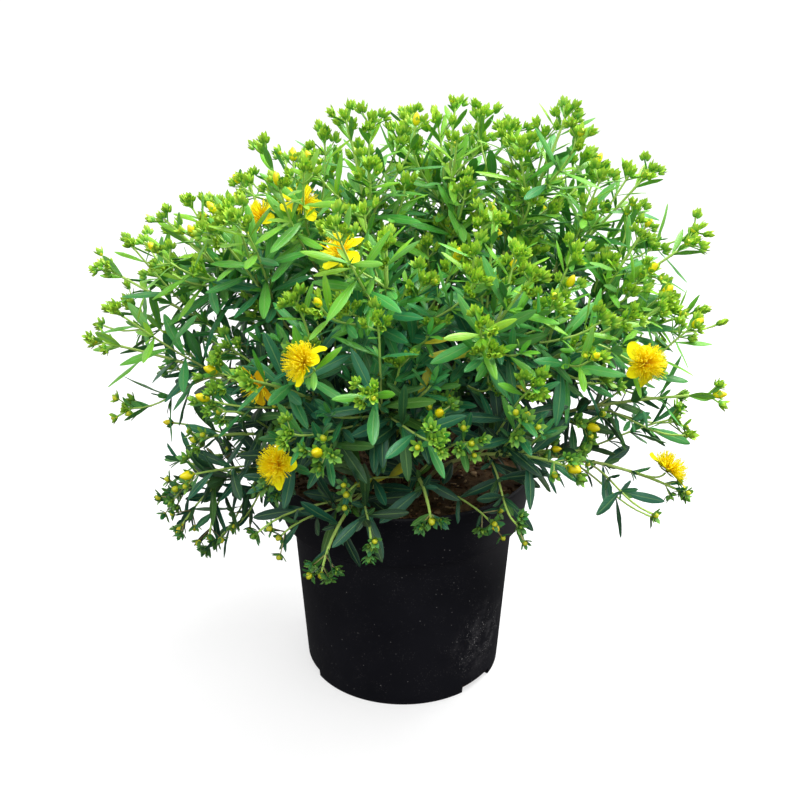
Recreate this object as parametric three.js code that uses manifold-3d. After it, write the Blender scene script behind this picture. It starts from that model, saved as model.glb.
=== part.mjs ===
// A St John's wort shrub in its black nursery pot: the pot, the soil, the leafy stems that rise from
// the soil, and the open blooms. Millimetres, +Z up, +X to the right, -Y towards the viewer.
// The origin is the centre of the pot's underside.
import * as THREE from "three";
import { mergeVertices } from "three/addons/utils/BufferGeometryUtils.js";
import Module from "manifold-3d";

const wasm = await Module();
wasm.setup();

// The pot: a tapered body, a wider collar round its top and three drain notches in its foot.
const POT_HEIGHT = 198;
const RIM_RADIUS = 115;
const COLLAR_HEIGHT = 49;
const COLLAR_FOOT_RADIUS = 107.6;
const SHOULDER_RADIUS = 98.4;
const BASE_RADIUS = 88.5;
const WALL = 2.2;
const FLOOR = 3;
const POT_SIDES = 28;
const EDGE = 1.5;
const NOTCH = { width: 38, height: 7, depth: 9, bearings: [-41, 79, 199] };

// The soil fills the pot to a little below its rim.
const SOIL_TOP = 180;
const SOIL_RINGS = [62];
const SOIL_RELIEF = 3;
const SOIL_GAP = 0.5;
const FIT_GAP = 0.35;
const HOLE_DEPTH = 8;
const HOLE_PLAY = 1;

// The leafy stems: where each one's tip stands, and its slope there in degrees above the level.
const STEMS = {
  left_trailing: { tip: [-190, -65, 192], slope: -25 },
  left_low: { tip: [-160, -85, 255], slope: 0 },
  left_mid: { tip: [-245, -35, 318], slope: 15 },
  left_high: { tip: [-250, 20, 365], slope: 30 },
  upper_left: { tip: [-190, -10, 412], slope: 45 },
  crown_left: { tip: [-115, 45, 455], slope: 62 },
  top_left: { tip: [-45, 5, 488], slope: 75 },
  top: { tip: [42, 40, 492], slope: 85 },
  top_right: { tip: [128, 5, 492], slope: 72 },
  crown_right: { tip: [200, 20, 445], slope: 50 },
  upper_right: { tip: [228, -20, 396], slope: 38 },
  right_mid: { tip: [236, -20, 338], slope: 20 },
  right_low: { tip: [244, -65, 284], slope: 8 },
  right_trailing: { tip: [218, -95, 215], slope: -18 },
  front_right_low: { tip: [118, -150, 262], slope: 5 },
  front_low: { tip: [20, -152, 222], slope: -20 },
  front_trailing: { tip: [-62, -150, 176], slope: -55 },
  front_left: { tip: [-110, -140, 325], slope: 25 },
  front: { tip: [-25, -178, 330], slope: 28 },
  front_high: { tip: [-15, -120, 415], slope: 58 },
  front_right: { tip: [88, -140, 400], slope: 50 },
  front_far_right: { tip: [165, -112, 362], slope: 35 },
  back_left: { tip: [-150, 135, 395], slope: 45 },
  back: { tip: [5, 160, 430], slope: 52 },
  back_right: { tip: [150, 140, 400], slope: 45 },
  back_low_left: { tip: [-188, 120, 268], slope: 10 },
  back_low: { tip: [15, 220, 300], slope: 15 },
  back_low_right: { tip: [195, 125, 290], slope: 12 },
};
const STEM_RADIUS = { root: 2.6, tip: 1.2 };
const STEM_STEPS = 4;
const STEM_BEND = { lean: 0.1, lift: 0.42, least: 0.5, end: 0.38 };
const TUBE_SIDES = 3;
const ROOTS = { ring: 38, spacing: 12, rounds: 80 };

// The side shoots that fan out round each stem's tip. Each leaves the stem below the tip, by a share
// of its own spread, and its end turns outwards and up.
const SHOOTS_PER_STEM = 3;
const SHOOT_SPREAD = [48, 68];
const SHOOT_BACK = [8, 34];
const SHOOT_START = { share: 1.35, lowest: 0.3 };
const SHOOT_END = { outwards: 0.45, up: 0.3 };
const SHOOT_RADIUS = { root: 1.1, tip: 1.1 };
const SHOOT_STEPS = 3;
const SHOOT_BEND = { towards: 1.4, start: 0.36, end: 0.34 };
const SHOOT_TURNS = [0, 25, -25, 50, -50, 75, -75];

// The leaves stand in opposite pairs, each pair crosswise to the next, counted back from the tip.
const LEAF_LENGTH = [40, 50];
const LEAF_SHARE = 0.22;
const LEAF_THICKNESS = 1.2;
const LEAF_STATIONS = [[0.3, 0.8], [0.68, 1]];
const YOUNG_STATIONS = [[0.55, 1]];
const YOUNG_LENGTH = 38;
const LEAF_LEAN = { young: 34, old: 62, spread: 12 };
const LEAF_ARCH = [0.02, 0.2];
const LEAF_TURNS = [0, 16, -16, 32, -32, 48, -48, 64];
const LEAF_WOBBLE = 16;
const LEAF_SHRINK = 0.04;
const LIGHT_PULL = 0.7;
const YOUNG = { reach: 45, share: 0.5 };
const PAIR_START = 15;
const PAIRS = {
  stem: { gap: 23, leafy: 0.7, kept: [2, 5, 8] },
  shoot: { gap: 19, leafy: 0.85, kept: [1] },
  bloom: { gap: 19, leafy: 0.85, kept: [] },
};

// The flower buds: one on each tip, on a short neck, and others on the sides of that neck.
const BUD = { neck: 3, length: 12, radius: 3.6, waist: 0.5 };
const SIDE_BUD = { length: 15, radius: 2.6, waist: 0.62, lean: 50 };
const SIDE_BUDS = 2;

// The open blooms: which stem bears each, where its centre is, and which way it faces.
const BLOOMS = {
  bloom_upper_left: { on: "upper_left", at: [-112, -25, 418], facing: [-0.5, -0.5, 0.7] },
  bloom_crown_left: { on: "crown_left", at: [-80, -30, 430], facing: [0.3, -0.6, 0.75] },
  bloom_front_high: { on: "front_high", at: [-44, -125, 415], facing: [-0.35, -0.35, 0.85] },
  bloom_front_left: { on: "front_left", at: [-68, -172, 350], facing: [-0.75, -0.45, 0.5] },
  bloom_left_low: { on: "left_low", at: [-92, -150, 262], facing: [-0.55, -0.75, 0.4] },
  bloom_front_right: { on: "front_far_right", at: [176, -132, 335], facing: [0.25, -0.85, 0.45] },
  bloom_right_low: { on: "right_trailing", at: [208, -100, 232], facing: [0.45, 0.1, 0.55] },
  bloom_inner_left: { on: "left_mid", at: [-110, -95, 305], facing: [-0.6, -0.6, -0.25] },
  bloom_back_left: { on: "back_left", at: [-120, 165, 375], facing: [-0.35, 0.75, 0.6] },
  bloom_back_right: { on: "back_right", at: [120, 175, 370], facing: [0.3, 0.8, 0.5] },
};
const PETALS = 5;
const PETAL = { reach: 19, width: 13, thickness: 1.2, cup: 0.3, spin: 0.12 };
const PETAL_STATIONS = [[0.6, 1], [1, 0.5]];
const STAMENS = 6;
const STAMEN = { length: 15, radius: 1.3, rise: [30, 80] };
const HEART = { radius: 3.2, height: 6, sides: 5, middle: 1.5 };
const BLOOM_SHOOT = { below: 40, lowest: 0.2 };

// The room that pieces keep clear of each other is measured with balls.
const CLEAR_GAP = 0.8;
const CELL = 18;
const TUBE_BALLS = { step: 4, margin: 1.5, after: 6 };
const LEAF_BALLS = { shares: [0.2, 0.32, 0.44, 0.56, 0.68, 0.8, 0.92], margin: 0.6 };
const CLUSTER_BALL = { ahead: 5, radius: 9 };
const BLOOM_BALL = { ahead: 6, radius: 15 };
const UP = new THREE.Vector3(0, 0, 1);
const STEM_KEY = 99;
const BLOOM_KEY = 90;

const COLOURS = {
  pot: { color: 0x15151a, roughness: 0.55, metalness: 0 },
  soil: { color: 0x3a2416, roughness: 1, metalness: 0 },
  leafy: { color: 0x3f8f3a, roughness: 0.6, metalness: 0 },
  petal: { color: 0xf5d20a, roughness: 0.5, metalness: 0 },
};

// The same whole numbers always give the same draw from 0 to 1.
function draw(...key) {
  let hash = 0x9e3779b9;
  for (const number of key) {
    hash = Math.imul(hash ^ number, 0x85ebca6b);
    hash ^= hash >>> 13;
    hash = Math.imul(hash, 0xc2b2ae35);
    hash ^= hash >>> 16;
  }
  return (hash >>> 0) / 4294967296;
}

function between([low, high], ...key) {
  return low + (high - low) * draw(...key);
}

function radians(degrees) {
  return (degrees * Math.PI) / 180;
}

function vector(triple) {
  return new THREE.Vector3(...triple);
}

function along(point, direction, distance) {
  return point.clone().addScaledVector(direction, distance);
}

// The direction of a sum of two vectors.
function mixed(one, share, other, otherShare) {
  return one.clone().multiplyScalar(share).addScaledVector(other, otherShare).normalize();
}

// A closed geometry as a solid, its faces turned outwards.
function solidOf(geometry) {
  geometry.deleteAttribute("normal");
  geometry.deleteAttribute("uv");
  const merged = mergeVertices(geometry, 1e-4);
  const index = merged.index.array;
  const kept = [];
  for (let i = 0; i < index.length; i += 3) {
    const [a, b, c] = index.slice(i, i + 3);
    if (a !== b && b !== c && a !== c) kept.push(a, b, c);
  }
  const made = (triVerts) =>
    new wasm.Manifold(
      new wasm.Mesh({
        numProp: 3,
        vertProperties: new Float32Array(merged.attributes.position.array),
        triVerts: new Uint32Array(triVerts),
      }),
    );
  const solid = made(kept);
  return solid.volume() > 0 ? solid : made(kept.reverse());
}

function geometryOf(solid) {
  const mesh = solid.getMesh();
  const geometry = new THREE.BufferGeometry();
  geometry.setAttribute("position", new THREE.BufferAttribute(mesh.vertProperties, 3));
  geometry.setIndex(new THREE.BufferAttribute(mesh.triVerts, 1));
  return geometry;
}

// Joins solids into one body. A sealed hollow is filled and a loose scrap is dropped.
function joined(solids) {
  const bodies = wasm.Manifold.union(solids).decompose();
  return bodies.reduce((best, body) => (body.volume() > best.volume() ? body : best));
}

// The faces between two sections. Either may be a single point.
function wall(near, far) {
  const faces = [];
  for (let k = 0; k < Math.max(near.length, far.length); k++) {
    const [a, b] = [near[k % near.length], near[(k + 1) % near.length]];
    const [c, d] = [far[k % far.length], far[(k + 1) % far.length]];
    if (near.length > 1) faces.push([a, b, c]);
    if (far.length > 1) faces.push([b, d, c]);
  }
  return faces;
}

function cap(section) {
  return section.slice(2).map((corner, k) => [section[0], section[k + 1], corner]);
}

function solidWithin(faces) {
  const positions = faces.flat().flatMap(({ x, y, z }) => [x, y, z]);
  const geometry = new THREE.BufferGeometry();
  geometry.setAttribute("position", new THREE.Float32BufferAttribute(positions, 3));
  return solidOf(geometry);
}

// A closed skin over a row of sections. A section of one point is a sharp end.
function loft(sections) {
  const walls = sections.slice(1).flatMap((section, i) => wall(sections[i], section));
  return solidWithin([...cap([...sections[0]].reverse()), ...walls, ...cap(sections.at(-1))]);
}

// The part of a vector that is square to a direction.
function squared(other, direction) {
  return other.clone().addScaledVector(direction, -other.dot(direction)).normalize();
}

function squareTo(direction) {
  const other = Math.abs(direction.y) > 0.9 ? new THREE.Vector3(1, 0, 0) : new THREE.Vector3(0, 1, 0);
  return squared(other, direction);
}

function ring(centre, direction, across, radius, sides) {
  return Array.from({ length: sides }, (_, k) => {
    const spoke = across.clone().applyAxisAngle(direction, (2 * Math.PI * k) / sides);
    return along(centre, spoke, radius);
  });
}

// A bent line, which tells its place, its direction and a vector across it at a distance.
class Path {
  constructor(points, end) {
    this.points = points;
    this.end = end;
    this.reached = [0];
    this.directions = [];
    for (let i = 1; i < points.length; i++) {
      const step = points[i].clone().sub(points[i - 1]);
      this.reached.push(this.reached[i - 1] + step.length());
      this.directions.push(step.normalize());
    }
    this.length = this.reached.at(-1);
    this.across = [squareTo(this.directions[0])];
    for (let i = 1; i < points.length - 1; i++)
      this.across.push(squared(this.across[i - 1], this.directions[i]));
  }

  at(distance) {
    let i = 0;
    while (i + 1 < this.directions.length && this.reached[i + 1] < distance) i++;
    const point = along(this.points[i], this.directions[i], distance - this.reached[i]);
    return { point, direction: this.directions[i], across: this.across[i] };
  }

  // Balls that hold a tube round the path from one distance to its end.
  balls(radius, from) {
    const count = Math.ceil((this.length - from) / TUBE_BALLS.step);
    return Array.from({ length: count + 1 }, (_, k) => {
      const { point } = this.at(from + ((this.length - from) * k) / count);
      return [point.x, point.y, point.z, radius + TUBE_BALLS.margin];
    });
  }

  // A section of a tube at each of the path's points.
  sections({ root, tip }) {
    return this.points.map((point, i) => {
      const [before, after] = [this.directions[Math.max(i - 1, 0)], this.directions[i] ?? this.end];
      const direction = before.clone().add(after).normalize();
      const across = squared(this.across[Math.min(i, this.across.length - 1)], direction);
      const radius = root + (tip - root) * (this.reached[i] / this.length);
      return ring(point, direction, across, radius, TUBE_SIDES);
    });
  }
}

function potRadiusAt(height) {
  const collarFoot = POT_HEIGHT - COLLAR_HEIGHT;
  if (height < collarFoot) return BASE_RADIUS + ((SHOULDER_RADIUS - BASE_RADIUS) * height) / collarFoot;
  return COLLAR_FOOT_RADIUS + ((RIM_RADIUS - COLLAR_FOOT_RADIUS) * (height - collarFoot)) / COLLAR_HEIGHT;
}

// True if a ball is over the rim, outside the pot, or above the soil inside it.
function clearOfPot([x, y, z, radius]) {
  const room = radius + CLEAR_GAP;
  const spread = Math.hypot(x, y);
  if (z - room > POT_HEIGHT) return true;
  if (spread - room > potRadiusAt(Math.min(z + room, POT_HEIGHT))) return true;
  return z - room > SOIL_TOP + SOIL_RELIEF && spread + room < COLLAR_FOOT_RADIUS - WALL;
}

// Keeps the room that each plant piece takes, as balls in a grid of cells, with the piece's owner.
class Room {
  cells = new Map();

  key(x, y, z) {
    return `${Math.floor(x / CELL)},${Math.floor(y / CELL)},${Math.floor(z / CELL)}`;
  }

  take(balls, owner) {
    for (const ball of balls) {
      const key = this.key(...ball);
      if (!this.cells.has(key)) this.cells.set(key, []);
      this.cells.get(key).push([ball, owner]);
    }
  }

  meets([x, y, z, radius], owner) {
    for (const i of [-CELL, 0, CELL])
      for (const j of [-CELL, 0, CELL])
        for (const k of [-CELL, 0, CELL])
          for (const [other, held] of this.cells.get(this.key(x + i, y + j, z + k)) ?? []) {
            const least = radius + other[3] + CLEAR_GAP;
            const apart = (x - other[0]) ** 2 + (y - other[1]) ** 2 + (z - other[2]) ** 2;
            if (held !== owner && apart < least * least) return true;
          }
    return false;
  }

  isFree(balls, owner) {
    return balls.every((ball) => clearOfPot(ball) && !this.meets(ball, owner));
  }
}

// The stems' places in the soil: low stems stand outermost, and none stands in another.
function stemRoots() {
  const roots = Object.values(STEMS).map(({ tip: [x, y, z] }) => {
    const reach = Math.hypot(x, y);
    const steep = Math.atan2(z - SOIL_TOP, reach) / (Math.PI / 2);
    const spread = ROOTS.ring * (1 - steep);
    return [(x / reach) * spread, (y / reach) * spread];
  });
  for (let round = 0; round < ROOTS.rounds; round++)
    for (let a = 0; a < roots.length; a++)
      for (let b = a + 1; b < roots.length; b++) {
        const [dx, dy] = [roots[b][0] - roots[a][0], roots[b][1] - roots[a][1]];
        const apart = Math.hypot(dx, dy);
        const push = Math.max(0, ROOTS.spacing - apart) / 2 / apart;
        roots[a] = [roots[a][0] - dx * push, roots[a][1] - dy * push];
        roots[b] = [roots[b][0] + dx * push, roots[b][1] + dy * push];
      }
  return roots.map(([x, y]) => new THREE.Vector3(x, y, SOIL_TOP - HOLE_DEPTH + FIT_GAP));
}

// A stem stands upright in its hole, then leans outwards and ends at its tip with its own slope.
function stemPath(root, { tip, slope }) {
  const outwards = new THREE.Vector3(tip[0], tip[1], 0).normalize();
  const end = mixed(outwards, Math.cos(radians(slope)), UP, Math.sin(radians(slope)));
  const knee = root.clone().setZ(SOIL_TOP + SOIL_RELIEF);
  const span = vector(tip).distanceTo(knee);
  const rise = Math.max(STEM_BEND.least, (tip[2] - SOIL_TOP) / span);
  const lifted = along(along(knee, outwards, span * STEM_BEND.lean), UP, span * STEM_BEND.lift * rise);
  const controls = [knee, lifted, along(vector(tip), end, -span * STEM_BEND.end), vector(tip)];
  return new Path([root, ...new THREE.CubicBezierCurve3(...controls).getPoints(STEM_STEPS)], end);
}

// A curve that leaves another at a distance along it and reaches a tip.
function branchPath(parent, distance, tip, end) {
  const { point, direction } = parent.at(distance);
  const reach = tip.distanceTo(point);
  const towards = tip.clone().sub(point).normalize();
  const start = mixed(direction, 1, towards, SHOOT_BEND.towards);
  const controls = [along(point, start, reach * SHOOT_BEND.start), along(tip, end, -reach * SHOOT_BEND.end)];
  return new Path(new THREE.CubicBezierCurve3(point, ...controls, tip).getPoints(SHOOT_STEPS), end);
}

// The shoots that fan out round a stem's tip, where there is room for them.
function sideShoots(room, { path, number }) {
  const level = path.end.clone().cross(UP).normalize();
  const upright = level.clone().cross(path.end);
  const shoots = [];
  for (let k = 0; k < SHOOTS_PER_STEM; k++) {
    const spread = between(SHOOT_SPREAD, number, k, 1);
    const back = between(SHOOT_BACK, number, k, 2);
    const bearing = 360 * (k / SHOOTS_PER_STEM + draw(number, 3));
    const start = path.length - SHOOT_START.share * spread - back;
    for (const turn of SHOOT_TURNS) {
      const angle = radians(bearing + turn);
      const aside = mixed(level, Math.cos(angle), upright, Math.sin(angle));
      const tip = along(along(path.points.at(-1), aside, spread), path.end, -back);
      const end = mixed(mixed(path.end, 1, aside, SHOOT_END.outwards), 1, UP, SHOOT_END.up);
      const shoot = branchPath(path, Math.max(path.length * SHOOT_START.lowest, start), tip, end);
      const balls = [...shoot.balls(SHOOT_RADIUS.root, TUBE_BALLS.after), clusterBall(shoot)];
      if (!room.isFree(balls, number)) continue;
      room.take(balls, number);
      shoots.push({ path: shoot, kind: "shoot", key: k });
      break;
    }
  }
  return shoots;
}

function clusterBall(path) {
  const { x, y, z } = along(path.points.at(-1), path.end, CLUSTER_BALL.ahead);
  return [x, y, z, CLUSTER_BALL.radius];
}

// The shoot that carries a bloom, from its stem to just behind the bloom.
function bloomShoot({ path }, { at, facing }) {
  const end = vector(facing).normalize();
  const tip = along(vector(at), end, -FIT_GAP);
  const apart = path.points.map((point) => point.distanceTo(tip));
  const nearest = path.reached[apart.indexOf(Math.min(...apart))];
  const start = Math.max(path.length * BLOOM_SHOOT.lowest, nearest - BLOOM_SHOOT.below);
  return { path: branchPath(path, start, tip, end), kind: "bloom", key: BLOOM_KEY };
}

function bloomBall({ at, facing }) {
  const { x, y, z } = along(vector(at), vector(facing).normalize(), BLOOM_BALL.ahead);
  return [x, y, z, BLOOM_BALL.radius];
}

// One leaf of a pair: its root on the shoot, the way it points, its upper face and its size.
function leafAt(path, fromTip, turn, shrink, ...key) {
  const { point, direction, across } = path.at(path.length - fromTip);
  const aside = across.clone().applyAxisAngle(direction, turn);
  const grown = Math.min(1, fromTip / YOUNG.reach);
  const spread = LEAF_LEAN.spread * (draw(...key, 5) - 0.5);
  const lean = radians(LEAF_LEAN.young + (LEAF_LEAN.old - LEAF_LEAN.young) * grown + spread);
  const ahead = mixed(direction, Math.cos(lean), aside, Math.sin(lean));
  const inner = mixed(direction, Math.sin(lean), aside, -Math.cos(lean));
  const face = squared(inner.addScaledVector(UP, LIGHT_PULL), ahead);
  const length = between(LEAF_LENGTH, ...key, 6) * (YOUNG.share + (1 - YOUNG.share) * grown) * shrink;
  const arch = between(LEAF_ARCH, ...key, 7);
  return { root: point, ahead, face, length, width: length * LEAF_SHARE, arch };
}

function leafPoint({ root, ahead, face, length, arch }, share) {
  return along(along(root, ahead, length * share), face, -arch * length * share * share);
}

function leafBalls(leaf) {
  return LEAF_BALLS.shares.map((share) => {
    const { x, y, z } = leafPoint(leaf, share);
    return [x, y, z, leaf.width / 2 + LEAF_BALLS.margin];
  });
}

// The leaves of a shoot's kept pairs, each turned until it has room.
function leavesOf(room, { path, kind, key: shootKey }, number) {
  const leaves = [];
  const { gap, leafy, kept } = PAIRS[kind];
  const firstTurn = Math.PI * draw(number, shootKey, 4);
  for (const pair of kept) {
    const fromTip = PAIR_START + pair * gap;
    if (fromTip > path.length * leafy) continue;
    for (const side of [0, 1]) {
      const key = [number, shootKey, pair, side];
      const wobble = radians(LEAF_WOBBLE * (draw(...key, 8) - 0.5));
      const turn = firstTurn + (pair / 2 + side) * Math.PI + wobble;
      for (const [attempt, change] of LEAF_TURNS.entries()) {
        const leaf = leafAt(path, fromTip, turn + radians(change), 1 - LEAF_SHRINK * attempt, ...key);
        const balls = leafBalls(leaf);
        if (!room.isFree(balls, number)) continue;
        room.take(balls, number);
        leaves.push(leaf);
        break;
      }
    }
  }
  return leaves;
}

// A three-cornered section: two edges and the keel of the midrib under them.
function bladeSection(centre, side, face, width, thickness) {
  return [along(centre, side, -width / 2), along(centre, side, width / 2), along(centre, face, -thickness)];
}

function leafSolid(leaf) {
  const side = leaf.ahead.clone().cross(leaf.face);
  const stations = leaf.length < YOUNG_LENGTH ? YOUNG_STATIONS : LEAF_STATIONS;
  const sections = stations.map(([share, width]) =>
    bladeSection(leafPoint(leaf, share), side, leaf.face, leaf.width * width, LEAF_THICKNESS));
  return loft([[leaf.root], ...sections, [leafPoint(leaf, 1)]]);
}

// The faces of a bud that grows from a three-cornered section: a spindle, widest at its waist.
function budFaces(section, way, { length, radius, waist }) {
  const root = section.reduce((sum, p) => sum.add(p), new THREE.Vector3()).divideScalar(section.length);
  const middle = section.map((corner) => {
    const spoke = corner.clone().sub(root);
    spoke.addScaledVector(way, -spoke.dot(way)).normalize();
    return along(along(root, way, length * waist), spoke, radius);
  });
  return [...wall(section, middle), ...wall(middle, [along(root, way, length)])];
}

// The neck above a shoot's last section, with side buds on it and a bud on top.
function clusterFaces(section, way) {
  const neck = section.map((corner) => along(corner, way, BUD.neck));
  const faces = budFaces(neck, way, BUD);
  wall(section, neck).forEach((face, k) => {
    const side = face[1].clone().sub(face[0]).cross(face[2].clone().sub(face[0])).normalize();
    const lean = radians(SIDE_BUD.lean);
    const aside = mixed(way, Math.cos(lean), side, Math.sin(lean));
    const grows = k % 2 === 0 && k / 2 < SIDE_BUDS;
    faces.push(...(grows ? budFaces(face, aside, SIDE_BUD) : [face]));
  });
  return faces;
}

// A shoot in one skin: its tube, and the cluster of buds on its tip.
function shootSolid({ path, kind }) {
  const sections = path.sections(kind === "stem" ? STEM_RADIUS : SHOOT_RADIUS);
  if (kind === "bloom") return loft(sections);
  const walls = sections.slice(1).flatMap((section, i) => wall(sections[i], section));
  const bottom = cap([...sections[0]].reverse());
  return solidWithin([...bottom, ...walls, ...clusterFaces(sections.at(-1), path.end)]);
}

// A leafy stem in one piece: the stem, its shoots, their leaves and their buds.
function leafyStemSolid(stem) {
  return joined([...[stem, ...stem.shoots].map(shootSolid), ...stem.leaves.map(leafSolid)]);
}

// An open bloom: five cupped petals round a heart that bristles with stamens.
function bloomSolid({ at, facing }, number) {
  const direction = vector(facing).normalize();
  const base = vector(at);
  const across = squareTo(direction);
  const foot = ring(base, direction, across, HEART.radius, HEART.sides);
  const pieces = [loft([foot, [along(base, direction, HEART.height)]])];
  const root = along(base, direction, HEART.middle);
  for (let k = 0; k < PETALS; k++) {
    const angle = (2 * Math.PI * k) / PETALS + draw(number, k, 11) * PETAL.spin;
    const outwards = across.clone().applyAxisAngle(direction, angle);
    const side = direction.clone().cross(outwards);
    const sections = PETAL_STATIONS.map(([share, width]) => {
      const reach = PETAL.reach * share;
      const middle = along(along(root, outwards, reach), direction, PETAL.cup * reach);
      return bladeSection(middle, side, direction, PETAL.width * width, PETAL.thickness);
    });
    pieces.push(loft([[root], ...sections]));
  }
  for (let k = 0; k < STAMENS; k++) {
    const rise = radians(between(STAMEN.rise, number, k, 12));
    const outwards = across.clone().applyAxisAngle(direction, (2 * Math.PI * (k + 0.5)) / STAMENS);
    const way = mixed(outwards, Math.cos(rise), direction, Math.sin(rise));
    const section = ring(root, way, squareTo(way), STAMEN.radius, TUBE_SIDES);
    pieces.push(loft([section, [along(root, way, STAMEN.length)]]));
  }
  return joined(pieces);
}

// An outline of radii and heights, turned about the upright axis.
function turned(outline) {
  const points = outline.map(([radius, height]) => new THREE.Vector2(radius, height));
  return new THREE.LatheGeometry(points, POT_SIDES).rotateX(Math.PI / 2);
}

function potSolid() {
  const collarFoot = POT_HEIGHT - COLLAR_HEIGHT;
  const shell = solidOf(turned([
    [0, 0],
    [BASE_RADIUS - EDGE, 0],
    [BASE_RADIUS, EDGE],
    [SHOULDER_RADIUS, collarFoot],
    [COLLAR_FOOT_RADIUS - 2 * EDGE, collarFoot],
    [COLLAR_FOOT_RADIUS, collarFoot + 2 * EDGE],
    [RIM_RADIUS, POT_HEIGHT - EDGE / 2],
    [RIM_RADIUS - WALL / 2, POT_HEIGHT],
    [RIM_RADIUS - WALL, POT_HEIGHT - EDGE / 2],
    [COLLAR_FOOT_RADIUS - WALL, collarFoot + 2 * EDGE + WALL],
    [SHOULDER_RADIUS - WALL, collarFoot + WALL],
    [BASE_RADIUS - WALL, FLOOR],
    [0, FLOOR],
  ]));
  const notches = NOTCH.bearings.map((bearing) => {
    const box = new THREE.BoxGeometry(2 * NOTCH.depth, NOTCH.width, 2 * NOTCH.height);
    return solidOf(box.translate(BASE_RADIUS, 0, 0).rotateZ(radians(bearing)));
  });
  return notches.reduce((pot, notch) => pot.subtract(notch), shell);
}

// The soil follows the pot's inner wall, and its top is lumpy.
function soilSolid(stems) {
  const collarFoot = POT_HEIGHT - COLLAR_HEIGHT;
  const inner = WALL + SOIL_GAP;
  const geometry = turned([
    [0, FLOOR + FIT_GAP],
    [BASE_RADIUS - inner, FLOOR + FIT_GAP],
    [SHOULDER_RADIUS - inner, collarFoot + WALL + FIT_GAP],
    [COLLAR_FOOT_RADIUS - inner - EDGE, collarFoot + 2 * EDGE + WALL + FIT_GAP],
    [potRadiusAt(SOIL_TOP) - inner - EDGE, SOIL_TOP - SOIL_RELIEF],
    ...SOIL_RINGS.map((radius) => [radius, SOIL_TOP]),
    [0, SOIL_TOP],
  ]);
  const position = geometry.attributes.position;
  for (let i = 0; i < position.count; i++) {
    const lump = draw(Math.round(position.getX(i)), Math.round(position.getY(i)), 13) - 0.5;
    if (position.getZ(i) === SOIL_TOP) position.setZ(i, SOIL_TOP + SOIL_RELIEF * lump);
  }
  const holes = stems.map(({ path: { points: [root], across: [across] } }) => {
    const heights = [SOIL_TOP - HOLE_DEPTH, SOIL_TOP + 2 * SOIL_RELIEF];
    const radius = STEM_RADIUS.root + HOLE_PLAY / Math.cos(Math.PI / TUBE_SIDES);
    return loft(heights.map((z) => ring(root.clone().setZ(z), UP, across, radius, TUBE_SIDES)));
  });
  return holes.reduce((soil, hole) => soil.subtract(hole), solidOf(geometry));
}

function named(name, solid, colours) {
  const mesh = new THREE.Mesh(geometryOf(solid), new THREE.MeshStandardMaterial(colours));
  mesh.name = name;
  return mesh;
}

const roots = stemRoots();
const stems = Object.entries(STEMS).map(([name, stem], number) => ({
  name, kind: "stem", key: STEM_KEY, number, path: stemPath(roots[number], stem), shoots: [],
}));
const room = new Room();
for (const { path, number } of stems)
  room.take([...path.balls(STEM_RADIUS.root, HOLE_DEPTH), clusterBall(path)], number);
for (const [name, bloom] of Object.entries(BLOOMS)) {
  const stem = stems.find((candidate) => candidate.name === bloom.on);
  const shoot = bloomShoot(stem, bloom);
  stem.shoots.push(shoot);
  room.take(shoot.path.balls(SHOOT_RADIUS.root, TUBE_BALLS.after), stem.number);
  room.take([bloomBall(bloom)], name);
}
for (const stem of stems)
  stem.shoots.push(...sideShoots(room, stem));
for (const stem of stems)
  stem.leaves = [stem, ...stem.shoots].flatMap((shoot) => leavesOf(room, shoot, stem.number));

const plant = new THREE.Group();
plant.add(named("pot", potSolid(), COLOURS.pot));
plant.add(named("soil", soilSolid(stems), COLOURS.soil));
for (const stem of stems)
  plant.add(named(`stem_${stem.name}`, leafyStemSolid(stem), COLOURS.leafy));
Object.entries(BLOOMS).forEach(([name, bloom], number) =>
  plant.add(named(name, bloomSolid(bloom, number), COLOURS.petal)));

export default plant;
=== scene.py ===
import math
from collections import defaultdict
from typing import NamedTuple

import bpy
import numpy as np
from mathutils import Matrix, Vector


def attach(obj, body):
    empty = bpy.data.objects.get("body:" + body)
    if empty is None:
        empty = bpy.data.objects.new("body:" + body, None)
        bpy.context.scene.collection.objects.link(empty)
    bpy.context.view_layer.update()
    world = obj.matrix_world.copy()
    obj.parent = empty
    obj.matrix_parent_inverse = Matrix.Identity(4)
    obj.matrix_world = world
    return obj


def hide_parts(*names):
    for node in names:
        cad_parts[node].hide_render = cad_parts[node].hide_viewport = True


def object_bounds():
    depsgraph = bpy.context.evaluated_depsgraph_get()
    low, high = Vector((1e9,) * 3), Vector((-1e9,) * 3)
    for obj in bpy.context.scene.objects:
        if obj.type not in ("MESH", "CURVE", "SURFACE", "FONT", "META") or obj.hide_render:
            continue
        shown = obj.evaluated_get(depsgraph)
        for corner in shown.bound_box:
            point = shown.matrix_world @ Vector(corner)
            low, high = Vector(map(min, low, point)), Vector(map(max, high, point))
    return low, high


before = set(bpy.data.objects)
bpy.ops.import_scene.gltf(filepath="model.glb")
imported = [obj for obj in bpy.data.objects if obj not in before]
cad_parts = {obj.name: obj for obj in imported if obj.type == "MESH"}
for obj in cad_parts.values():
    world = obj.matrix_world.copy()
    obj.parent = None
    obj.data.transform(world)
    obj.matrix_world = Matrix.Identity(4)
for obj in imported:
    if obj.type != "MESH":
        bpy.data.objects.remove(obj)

CAD_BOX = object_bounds()
MM = 0.001

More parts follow.
